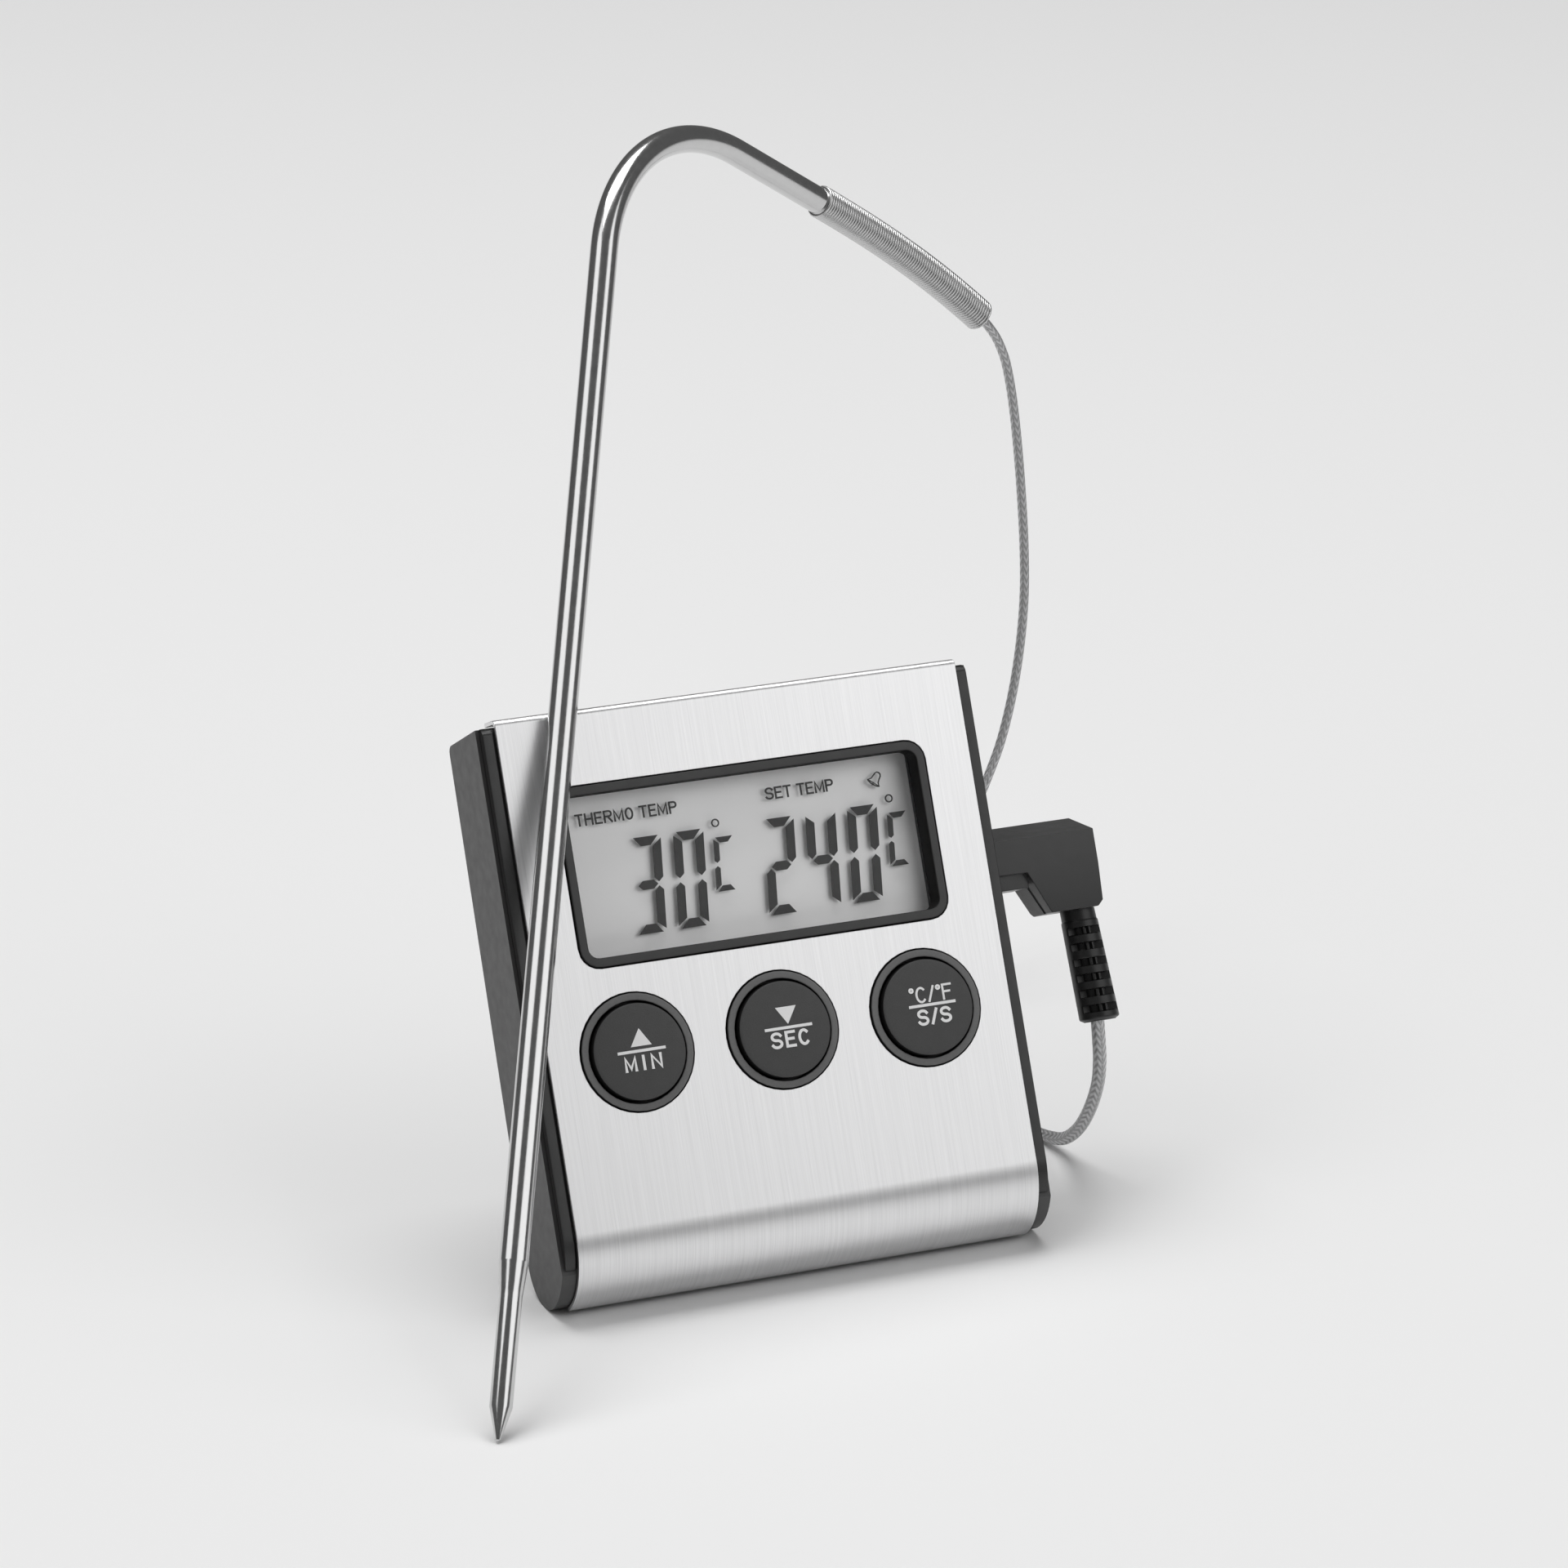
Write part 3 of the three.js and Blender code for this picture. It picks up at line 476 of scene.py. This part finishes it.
def band(path, half, z0, z1, closed=False):
    """A flat stroke of even width along (x, y) points, in millimetres, with square ends."""
    path = [Vector(p) for p in path]
    count = len(path)
    left, right = [], []
    for i, point in enumerate(path):
        before = path[(i - 1) % count] if closed or i else None
        after = path[(i + 1) % count] if closed or i < count - 1 else None
        into = (point - before).normalized() if before else (after - point).normalized()
        out_of = (after - point).normalized() if after else into
        along = (into + out_of).normalized()
        reach = half / max(along.dot(into), 0.6)
        across = Vector((-along.y, along.x)) * reach
        if not before:
            point = point - out_of * half
        elif not after:
            point = point + into * half
        left.append(point + across)
        right.append(point - across)
    corners = ((left, z0), (right, z0), (right, z1), (left, z1))
    points = [(*side[i], z) for i in range(count) for side, z in corners]
    faces = []
    for i in range(count if closed else count - 1):
        j = (i + 1) % count
        for k in range(4):
            m = (k + 1) % 4
            faces.append([4 * i + k, 4 * i + m, 4 * j + m, 4 * j + k])
    if not closed:
        faces += [[0, 1, 2, 3], [4 * count - 4, 4 * count - 3, 4 * count - 2, 4 * count - 1]]
    return mesh_object("stroke", points, faces)


def arc(x, y, rx, ry, start, end, steps=12):
    """Points on part of an ellipse, from one angle to another in degrees."""
    angles = [math.radians(start + (end - start) * i / steps) for i in range(steps + 1)]
    return [(x + rx * math.cos(a), y + ry * math.sin(a)) for a in angles]


# Each letter: its width over its height, then its strokes inside a unit square. True marks a closed one.
P_BOWL = [(0, 0), (0, 1)] + arc(0.62, 0.755, 0.38, 0.245, 90, -90) + [(0, 0.51)]
S_CURVE = arc(0.5, 0.755, 0.48, 0.245, 20, 270) + arc(0.5, 0.255, 0.5, 0.255, 90, -160)[1:]
LETTERS = {
    "T": (0.64, [([(0, 1), (1, 1)], False), ([(0.5, 0.9), (0.5, 0)], False)]),
    "H": (0.68, [([(0, 0), (0, 1)], False), ([(1, 0), (1, 1)], False),
                 ([(0.1, 0.52), (0.9, 0.52)], False)]),
    "E": (0.60, [([(1, 1), (0, 1), (0, 0), (1, 0)], False), ([(0.1, 0.52), (0.85, 0.52)], False)]),
    "F": (0.60, [([(1, 1), (0, 1), (0, 0)], False), ([(0.1, 0.52), (0.8, 0.52)], False)]),
    "P": (0.64, [(P_BOWL, False)]),
    "R": (0.70, [(P_BOWL, False), ([(0.5, 0.45), (1, 0)], False)]),
    "M": (0.82, [([(0, 0), (0, 1), (0.5, 0.12), (1, 1), (1, 0)], False)]),
    "N": (0.74, [([(0, 0), (0, 1), (1, 0), (1, 1)], False)]),
    "I": (0.0, [([(0, 0), (0, 1)], False)]),
    "O": (0.66, [(arc(0.5, 0.5, 0.5, 0.5, 0, 345, 23), True)]),
    "C": (0.68, [(arc(0.5, 0.5, 0.5, 0.5, 48, 312, 20), False)]),
    "S": (0.70, [(S_CURVE, False)]),
    "/": (0.40, [([(0, 0), (1, 1)], False)]),
    "°": (0.24, [(arc(0.5, 0.88, 0.5, 0.12, 0, 330, 11), True)]),
    " ": (0.16, []),
}
STROKE_STEP = 0.003           # strokes that cross differ in height by this, so that no faces coincide


def lettering(text, centre, height, width, half, z0, z1):
    """Raised letters: height, overall width and half stroke in millimetres, in the unit's frame."""
    inner = height - 2 * half
    widths = [LETTERS[letter][0] * inner + 2 * half for letter in text]
    space = (width - sum(widths)) / (len(text) - 1)
    x = centre[0] - width / 2 + half
    y = centre[1] - inner / 2
    pieces = []
    for letter, wide in zip(text, widths):
        for path, closed in LETTERS[letter][1]:
            placed = [(x + a * (wide - 2 * half), y + b * inner) for a, b in path]
            top = z1 - STROKE_STEP * (len(pieces) % 3)
            pieces.append(band(placed, half, z0, top, closed))
        x += wide + space
    return pieces


def frames_along(line):
    """Each point of a line, with a pair of side vectors that turn steadily along it."""
    tangents = []
    for i in range(len(line)):
        ahead = line[min(i + 1, len(line) - 1)]
        behind = line[max(i - 1, 0)]
        tangents.append((ahead - behind).normalized())
    side = tangents[0].orthogonal().normalized()
    stations = []
    for point, tangent in zip(line, tangents):
        side = (side - tangent * side.dot(tangent)).normalized()
        stations.append((point, side, tangent.cross(side)))
    return stations


def tube(name, line, radius, sides, turn_length=None):
    """A closed tube along a line; radius is a number or a function of the distance along it."""
    points = []
    faces = []
    along = [0.0]
    for one, two in zip(line, line[1:]):
        along.append(along[-1] + (two - one).length)
    for (centre, side, up), distance in zip(frames_along(line), along):
        reach = radius(distance) if callable(radius) else radius
        for i in range(sides):
            angle = 2 * math.pi * i / sides
            points.append(centre + (side * math.cos(angle) + up * math.sin(angle)) * reach)
    for ring in range(len(line) - 1):
        for i in range(sides):
            j = (i + 1) % sides
            faces.append([ring * sides + i, ring * sides + j,
                          (ring + 1) * sides + j, (ring + 1) * sides + i])
    faces.append(list(range(sides))[::-1])
    faces.append(list(range((len(line) - 1) * sides, len(line) * sides)))
    mesh = bpy.data.meshes.new(name)
    mesh.from_pydata(points, [], faces)
    if turn_length:
        layer = mesh.uv_layers.new(name="along")
        for face_index in range(len(faces) - 2):   # all but the two ends
            ring, i = divmod(face_index, sides)
            corners = [(i, ring), (i + 1, ring), (i + 1, ring + 1), (i, ring + 1)]
            start = mesh.polygons[face_index].loop_start
            for k, (around, station) in enumerate(corners):
                layer.data[start + k].uv = (around / sides, along[station] / turn_length)
    mesh.shade_smooth()
    obj = bpy.data.objects.new(name, mesh)
    bpy.context.scene.collection.objects.link(obj)
    return obj


def rounded_line(points, step):
    """A smooth curve through given points, sampled about every step."""
    line = []
    count = len(points)
    for i in range(count - 1):
        a = points[max(i - 1, 0)]
        b = points[i]
        c = points[i + 1]
        d = points[min(i + 2, count - 1)]
        spans = max(1, round((c - b).length / step))
        for k in range(spans):
            t = k / spans
            line.append(0.5 * (2 * b + (c - a) * t + (2 * a - 5 * b + 4 * c - d) * t * t
                               + (3 * b - a - 3 * c + d) * t * t * t))
    line.append(points[-1])
    return line


# ---- the cord ----
def ease(value):
    value = min(max(value, 0.0), 1.0)
    return value * value * (3 - 2 * value)


def coil_place(turn):
    """Column and layer of one whole turn: down the inner column, up the next, and so on."""
    column, step = divmod(turn, COIL_LAYERS)
    layer = COIL_LAYERS - 1 - step if column % 2 == 0 else step
    return column, layer


def coil_line():
    turns = COIL_LAYERS * COIL_COLUMNS
    shift = 40 / 360             # the part of a turn in which the cord steps to its next place
    steps = 36
    line = []
    for i in range(turns * steps + steps // 4 + 1):
        turn = i / steps
        index = min(int(turn), turns - 1)
        part = turn - index
        column, layer = coil_place(index)
        column_before = coil_place(max(index - 1, 0))[0]
        layer_after = coil_place(min(index + 1, turns - 1))[1]
        across = column_before + (column - column_before) * ease(part / shift)
        up = layer + (layer_after - layer) * ease((part - 1 + shift) / shift)
        radius = COIL_INNER + across * CORD_D
        angle = math.pi / 2 + turn * 2 * math.pi
        line.append(COIL + Vector((radius * math.cos(angle), radius * math.sin(angle),
                                   CORD_D * (0.5 + up))))
    return line


def spring_point(part):
    sag = SPRING_SAG * part ** 2.5
    return ARM_END + ARM * (SPRING_LENGTH * part) - Vector((0, 0, sag))


def sleeve_point(height):
    """A point on the strain relief's axis, in the unit's frame, moved to the table's frame."""
    return UNIT @ (Vector((SLEEVE_X, height, SLEEVE_Z)) * MM) - ORIGIN


def cord_line():
    upper = [spring_point(0.90), spring_point(0.96)] + [Vector(p) for p in CORD_UPPER]
    coil = coil_line()
    over = [Vector((0.0385, 0.0816, 0.0070)), Vector((0.0345, 0.0807, 0.0061))]
    leave = [Vector((0.0202, 0.0722, 0.0046))]
    lower = leave + [Vector(p) for p in CORD_LOWER] + [sleeve_point(-5.0), sleeve_point(-2.0)]
    start = rounded_line(upper + over + coil[:2], 0.0005)[:-1]
    end = rounded_line(coil[-2:] + lower, 0.0005)
    whole = start + coil[1:-2] + end
    return [ORIGIN + p for p in whole]


def length_of(line):
    return sum((b - a).length for a, b in zip(line, line[1:]))


def make_cord():
    line = cord_line()
    length = length_of(line)
    thick_from = length - 0.045
    thin, swell, swell_over = 0.00072, 0.00026, 0.012

    def radius(distance):
        return thin + swell * ease((distance - thick_from) / swell_over)

    cord = tube("cord", line, radius, 16, BRAID_PITCH)
    cord.data.materials.append(BRAID)
    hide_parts("cord_upper", "cord_coil", "cord_lower")
    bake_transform(cord)
    return cord, line, length


def make_tie():
    """A paper-covered wire tie round one side of the coil."""
    middle = ORIGIN + COIL + Vector((COIL_INNER + 1.5 * CORD_D, 0, 0.003))
    half = 0.0030 + 0.0004       # half the coil's section, and some slack
    lowest = -0.0027             # below the middle, so that it stays above the table
    steps = 32
    line = []
    for i in range(steps + 1):
        angle = 2 * math.pi * i / steps
        c, s = math.cos(angle), math.sin(angle)
        reach = half / max(abs(c), abs(s)) ** 0.8
        line.append(middle + Vector((reach * c, 0, min(max(reach * s, lowest), half))))
    tie = tube("coil_tie", line, 0.00025, 8)
    return shown(tie, TIE, "lead")


cord, cord_path, cord_length = make_cord()
tie = make_tie()


# ---- the probe ----
def needle_line(start, end):
    count = 60
    line = []
    stops = [start] + [STRAIGHT + BEND_LENGTH * i / count for i in range(count + 1)] + [end]
    for s in stops:
        turned_by = (s - STRAIGHT) / BEND_R
        if turned_by <= 0:
            point = TIP + NEEDLE * s
        elif turned_by >= math.pi / 2:
            point = ARM_START + ARM * (s - STRAIGHT - BEND_LENGTH)
        else:
            point = (TIP + NEEDLE * STRAIGHT + ARM * BEND_R * (1 - math.cos(turned_by))
                     + NEEDLE * BEND_R * math.sin(turned_by))
        line.append(ORIGIN + point)
    return line


def make_needle():
    end = STRAIGHT + BEND_LENGTH + ARM_LENGTH
    shaft = tube("needle_tube", needle_line(POINT_LENGTH, end), TUBE_R, 64)
    smooth(shaft, 50)
    shown(shaft, PROBE_STEEL, "probe", ["probe_shaft"])
    place = Matrix.Translation(ORIGIN + TIP) @ NEEDLE.to_track_quat("Z", "Y").to_matrix().to_4x4()
    outline = [(0, 0), (0.20, 0.05), (0.33, 0.2), (NECK_R / MM, 4.7), (NECK_R / MM, 20.0),
               (1.64, 20.7), (1.93, 24.0), (TUBE_R / MM, POINT_LENGTH / MM), (0, POINT_LENGTH / MM)]
    point = turned("needle_tip", outline, place, 64)
    point.data.transform(place)
    point.matrix_world = Matrix()
    smooth(point, 25)
    shown(point, PROBE_STEEL, "probe", ["probe_tip"])


def make_spring():
    """The wound wire sleeve at the end of the arm, and the plain tube that it is pushed over."""
    turns = 76
    steps = 20
    spans = 60
    first = 0.012                # the wire starts this far along, as a share of the length
    axis = [ORIGIN + spring_point(first + (1 - first) * i / spans) for i in range(spans + 1)]
    stations = frames_along(axis)
    line = []
    for i in range(turns * steps + 1):
        place = i / (turns * steps) * spans
        index = min(int(place), spans - 1)
        part = place - index
        one = stations[index]
        two = stations[index + 1]
        centre = one[0].lerp(two[0], part)
        side = one[1].lerp(two[1], part)
        up = one[2].lerp(two[2], part)
        angle = 2 * math.pi * i / steps
        line.append(centre + (side * math.cos(angle) + up * math.sin(angle)) * SPRING_R)
    wire = tube("spring_wire", line, SPRING_WIRE_R, 8)
    core = tube("spring_core", axis[:-2], SPRING_CORE_R, 24)
    spring = join("probe_spring_wire", [wire, core])
    shown(spring, SPRING_STEEL, "probe", ["probe_spring"])


make_needle()
make_spring()

# ---- the unit's shell ----
refine("steel_front_cover", STEEL, 0.00010, degrees=28)
refine("front_frame", FRAME_BLACK, 0.00018, degrees=28)
refine("rear_housing", REAR_BLACK, 0.00022, degrees=28, clamp=True, place=Matrix())
refine("battery_door", REAR_BLACK, 0.00020)
refine("stand", REAR_BLACK, 0.00030, clamp=True, place=Matrix())
refine("mode_switch_knob", FRAME_BLACK, 0.00012)
# The groove runs along the ledge beside the notch.
plug_groove = band([(41.75, 16.6), (42.0, 16.05), (45.4, 9.4)], 0.30, -6.75, -6.15)
refine("plug_body", PLUG_BLACK, 0.00012, degrees=20, cutter=plug_groove)


def make_screw(node):
    """A screw with a cross recess in its head, which faces back."""
    corners = [UNIT.inverted() @ NODES[node].matrix_world @ v.co / MM for v in NODES[node].data.vertices]
    x = (min(c.x for c in corners) + max(c.x for c in corners)) / 2
    y = (min(c.y for c in corners) + max(c.y for c in corners)) / 2
    back = min(c.z for c in corners)
    wide, arm, depth, clear = 0.30, 1.25, 0.8, 1.0
    cross = [(wide, wide), (wide, arm), (-wide, arm), (-wide, wide), (-arm, wide), (-arm, -wide),
             (-wide, -wide), (-wide, -arm), (wide, -arm), (wide, -wide), (arm, -wide), (arm, wide)]
    recess = slab([(x + a, y + b) for a, b in cross], back - clear, back + depth)
    refine(node, SCREW_STEEL, 0.00012, degrees=50, clamp=True, cutter=recess)


for number in range(1, 5):
    make_screw(f"housing_screw_{number}")


# ---- buttons ----
def make_cap(index, node, legends):
    """A turned cap, its outline in (radius, height) millimetres, with its legend on top."""
    x = (index - 1) * BUTTON_PITCH
    stem, flange, shoulder, shoulder_z = 2.0, 7.9, 0.28, 0.88
    outline = [(0, -4.4), (stem, -4.4), (stem, -3.3), (flange, -3.3), (flange, -2.5), (CAP_R, -2.5),
               (CAP_R, shoulder_z)]
    outline += [(CAP_R - shoulder * (1 - math.cos(a)), shoulder_z + shoulder * math.sin(a))
                for a in (0.26, 0.52, 0.79, 1.05, 1.31)]
    outline += [(6.3, 1.18), (5.0, 1.24), (3.0, 1.31), (1.2, 1.34), (0, 1.35)]   # the domed top
    cap = turned(node + "_cap", outline, UNIT @ Matrix.Translation((x * MM, 0, 0)), 96)
    smooth(cap, 40)
    shown(cap, CAP_BLACK, node, [node])
    print_on = join(node + "_legend", legends)
    shown(print_on, LEGEND, node)


LEGEND_Z0 = 1.20
LEGEND_Z1 = 1.385


def legend_line(x, y):
    half_length, half_width, sunk = 3.55, 0.2, 0.05
    return box(x - half_length, x + half_length, y - half_width, y + half_width, LEGEND_Z0 - sunk, LEGEND_Z1)


def legend_triangle(x, base, point):
    half_base = 1.55
    return slab([(x - half_base, base), (x + half_base, base), (x, point)], LEGEND_Z0, LEGEND_Z1)


def legend_text(text, x, y, height, width, half=0.20):
    return lettering(text, (x, y), height, width, half, LEGEND_Z0, LEGEND_Z1)


make_cap(0, "up_button", [
    legend_triangle(-21.45, 0.75, 3.2), legend_line(-21.5, 0.1),
    *legend_text("MIN", -21.5, -1.58, 2.15, 5.6),
])
make_cap(1, "down_button", [
    legend_triangle(0.45, 3.1, 0.65), legend_line(0.43, 0.18),
    *legend_text("SEC", 0.45, -1.45, 2.35, 5.85),
])
make_cap(2, "start_button", [
    legend_line(22.3, 0.3), *legend_text("°C/°F", 22.3, 1.80, 2.3, 6.5, 0.15),
    *legend_text("S/S", 22.35, -1.38, 2.3, 5.2),
])

# ---- display, in millimetres in the unit's frame ----
SEGMENT_Z0 = -3.62
SEGMENT_Z1 = -3.52
REFLECTOR_Z = -4.35
GASKET_Z = -3.5
PANEL_X = 26.9                # half the panel's width
PANEL_Y = (13.0, 36.9)
SLANT = 0.0996                # how far the digits lean, over their height
CAPTION_HALF = 0.13


def segment_outlines(half, tall, thick):
    """The seven segments of a digit, upright and centred: (x, y) outlines by their usual letters."""
    seam = 0.13
    h, t = tall / 2, thick
    top = [(-half + 0.35 * t, h), (half - 0.35 * t, h), (half - t - 0.2 * t, h - t),
           (-half + t + 0.2 * t, h - t)]
    middle = [(-half + 0.62 * t, 0), (-half + 1.15 * t, t / 2), (half - 1.15 * t, t / 2),
              (half - 0.62 * t, 0), (half - 1.15 * t, -t / 2), (-half + 1.15 * t, -t / 2)]
    right = [(half, h - 0.35 * t), (half, 0.70 * t), (half - 0.5 * t, seam + 0.12 * t),
             (half - t, 0.70 * t), (half - t, h - t - 0.12 * t)]

    def flip_x(shape):
        return [(-x, y) for x, y in shape]

    def flip_y(shape):
        return [(x, -y) for x, y in shape]

    return {
        "a": top, "g": middle, "d": flip_y(top), "b": right, "c": flip_y(right),
        "f": flip_x(right), "e": flip_x(flip_y(right)),
    }


def digit(x, y, half, tall, thick, lit):
    outlines = segment_outlines(half, tall, thick)
    return [
        slab([(x + a + b * SLANT, y + b) for a, b in outlines[letter]], SEGMENT_Z0, SEGMENT_Z1)
        for letter in lit
    ]


def ring_mark(x, y, outer, inner):
    """The display's degree sign."""
    count = 24
    points = []
    faces = []
    for z in (SEGMENT_Z0, SEGMENT_Z1):
        for radius in (outer, inner):
            for i in range(count):
                angle = 2 * math.pi * i / count
                points.append((x + radius * math.cos(angle), y + radius * math.sin(angle), z))
    for i in range(count):
        j = (i + 1) % count
        low_out, low_in, high_out, high_in = 0, count, 2 * count, 3 * count
        for p, q in ((low_out, high_out), (high_out, high_in), (high_in, low_in), (low_in, low_out)):
            faces.append([p + i, p + j, q + j, q + i])
    return mesh_object("ring_mark", points, faces)


def bell_mark(x, y, turn):
    """An alarm bell in outline, tilted."""
    half_shape = [(0.0, 1.05), (0.28, 0.98), (0.45, 0.75), (0.52, 0.2), (0.62, -0.25), (0.95, -0.62)]
    outline = half_shape + [(-a, b) for a, b in reversed(half_shape)]
    outline.pop()
    outline.append(outline[0])
    mouth = [(0.95 * math.cos(a), -0.62 + 0.24 * math.sin(a)) for a in
             [math.pi + math.pi * i / 8 for i in range(9)]]
    clapper = [(0.0, -0.62), (0.0, -0.95)]
    pieces = []
    for path in (outline, mouth, clapper):
        placed = [(x + a * math.cos(turn) - b * math.sin(turn), y + a * math.sin(turn) + b * math.cos(turn))
                  for a, b in path]
        pieces.append(band(placed, 0.09, SEGMENT_Z0, SEGMENT_Z1))
    return pieces


def make_display():
    ink = []
    digit_y = 22.87
    large_digits = ((-14.9, "abgcd"), (-8.5, "abcdef"), (5.16, "abged"), (11.5, "fgbc"), (17.87, "abcdef"))
    for x, lit in large_digits:
        ink += digit(x, digit_y, 2.27, 13.5, 1.28, lit)
    for x in (-3.12, 23.33):
        ink += digit(x, 24.3, 1.55, 7.6, 0.80, "afed")
        ink.append(ring_mark(x - 0.53, 30.12, 0.60, 0.40))
    ink += lettering("THERMO TEMP", (-16.5, 33.12), 1.75, 15.2, CAPTION_HALF, SEGMENT_Z0, SEGMENT_Z1)
    ink += lettering("SET TEMP", (9.6, 33.15), 1.75, 10.4, CAPTION_HALF, SEGMENT_Z0, SEGMENT_Z1)
    ink += bell_mark(21.25, 33.1, math.radians(-38))
    shown(join("display_segments", ink), LCD_INK, "unit")
    bottom, top = PANEL_Y
    low_rim, high_rim, side_rim = 13.5, 36.4, 26.5
    back = box(-PANEL_X, PANEL_X, bottom, top, -5.7, REFLECTOR_Z, "display_back")
    rims = [
        box(-PANEL_X, PANEL_X, bottom, low_rim, REFLECTOR_Z, GASKET_Z),
        box(-PANEL_X, PANEL_X, high_rim, top, REFLECTOR_Z, GASKET_Z),
        box(-PANEL_X, -side_rim, low_rim, high_rim, REFLECTOR_Z, GASKET_Z),
        box(side_rim, PANEL_X, low_rim, high_rim, REFLECTOR_Z, GASKET_Z),
    ]
    shown(back, LCD_BACK, "unit", ["lcd_panel"])
    shown(join("display_gasket", rims), RUBBER, "unit")


make_display()


# ---- plug sleeve ----
def make_sleeve():
    """The slotted strain relief: six slots at the front and six behind, between a spine at each side."""
    sides = 120
    steps = 190
    top, end = 10.69, -5.5
    thin, taper = 2.62, 0.018                              # radius at the top, and its growth downwards
    collar_from, collar_cut = 8.9, 0.12
    rows, row_start, row_pitch = 6, 7.55, 2.25
    slot_half, slot_reach, slot_depth = 0.58, 1.22, 1.15   # half height, radians to each side, depth
    web_at, web_half, web_rise = 0.22, 0.13, 0.55          # two ribs in each slot, in radians off its middle
    rounding, rounding_cut = 0.6, 0.60                     # at the lower end
    points = []
    faces = []

    def radius_at(height, angle):
        radius = thin + taper * (top - height) - collar_cut * ease((height - collar_from) / 0.3)
        off = abs((angle % math.pi) - math.pi / 2)
        web = ease((web_half - abs(off - web_at)) / 0.05)
        for row in range(rows):
            across = abs(height - (row_start - row * row_pitch))
            slot = ease((slot_half - across) / 0.10) * ease((slot_reach - off) / 0.12)
            radius -= (slot_depth - web_rise * web) * slot
        radius -= rounding_cut * ease((end + rounding - height) / rounding) ** 2
        return radius

    for s in range(steps + 1):
        height = end + (top - end) * s / steps
        tilt = 0.045 * (2.5 - height)
        for i in range(sides):
            angle = 2 * math.pi * i / sides
            radius = radius_at(height, angle)
            points.append((SLEEVE_X + tilt + radius * math.cos(angle), height,
                           SLEEVE_Z + radius * math.sin(angle)))
    for s in range(steps):
        for i in range(sides):
            j = (i + 1) % sides
            faces.append([s * sides + i, s * sides + j, (s + 1) * sides + j, (s + 1) * sides + i])
    faces.append(list(range(sides)))
    faces.append(list(range(steps * sides, (steps + 1) * sides)))
    sleeve = mesh_object("plug_sleeve_slotted", points, faces)
    smooth(sleeve, 40)
    shown(sleeve, SLEEVE_BLACK, "lead", ["plug_sleeve"])
    return sleeve


sleeve = make_sleeve()

# ---- CAD nodes that only need their material ----
PLAIN = {
    "lcd_window": (WINDOW, "window"), "lcd_connector": (RUBBER, "elastomer"),
    "circuit_board": (BOARD, "board"), "controller_chip": (RESIN, "black_resin"),
    "buzzer": (BRASS, "brass"), "probe_jack": (REAR_BLACK, "rear_plastic"),
    "mode_switch_body": (CONTACT, "contact_metal"), "battery_cell": (JACKET, "cell_jacket"),
    "battery_spring": (CONTACT, "contact_metal"), "battery_contact": (CONTACT, "contact_metal"),
    "key_switch_1": (CONTACT, "contact_metal"), "key_switch_2": (CONTACT, "contact_metal"),
    "key_switch_3": (CONTACT, "contact_metal"), "board_screw_1": (SCREW_STEEL, "screw_steel"),
    "board_screw_2": (SCREW_STEEL, "screw_steel"), "plug_pin": (CONTACT, "pin_metal"),
    "plug_pin_tip": (CONTACT, "pin_metal"), "thermistor": (RESIN, "black_resin"),
}
for name, (material, slot_name) in PLAIN.items():
    NODES[name].data.materials.clear()
    NODES[name].data.materials.append(material)


# ---- floor and light ----
def make_floor():
    bpy.ops.mesh.primitive_plane_add(size=12, location=(0, 0, 0))
    floor = bpy.context.active_object
    floor.name = "floor"
    material, nodes, links, shader = new_material("floor_white")
    value = noise(nodes, links, object_coords(nodes, links), 2.0)
    links.new(tint(nodes, links, value, (0.90, 0.90, 0.90), (0.92, 0.92, 0.92)), shader.inputs["Base Color"])
    shader.inputs["Roughness"].default_value = 0.8
    floor.data.materials.append(material)
    return floor


def area_light(name, place, target, size, power):
    data = bpy.data.lights.new(name, "AREA")
    data.shape = "RECTANGLE"
    data.size, data.size_y = size
    data.energy = power
    lamp = bpy.data.objects.new(name, data)
    bpy.context.scene.collection.objects.link(lamp)
    lamp.location = place
    lamp.rotation_euler = (Vector(target) - Vector(place)).to_track_quat("-Z", "Y").to_euler()
    return lamp


def make_world():
    """A dim, even studio."""
    world = bpy.data.worlds.new("studio")
    world.use_nodes = True
    world.node_tree.nodes["Background"].inputs["Color"].default_value = (1, 1, 1, 1)
    world.node_tree.nodes["Background"].inputs["Strength"].default_value = 0.12
    bpy.context.scene.world = world


def make_light():
    make_world()
    bpy.context.scene.view_settings.view_transform = "Standard"
    aim = (0, 0, 0.06)
    return [
        area_light("right_box", (0.72, -0.86, 0.76), aim, (1.25, 0.85), 4.3),
        area_light("left_box", (-0.95, -0.08, 1.08), aim, (0.9, 0.9), 3.2),
        area_light("overhead", (0.0, 0.5, 1.9), aim, (1.6, 1.2), 27),
    ]


make_floor()
make_light()
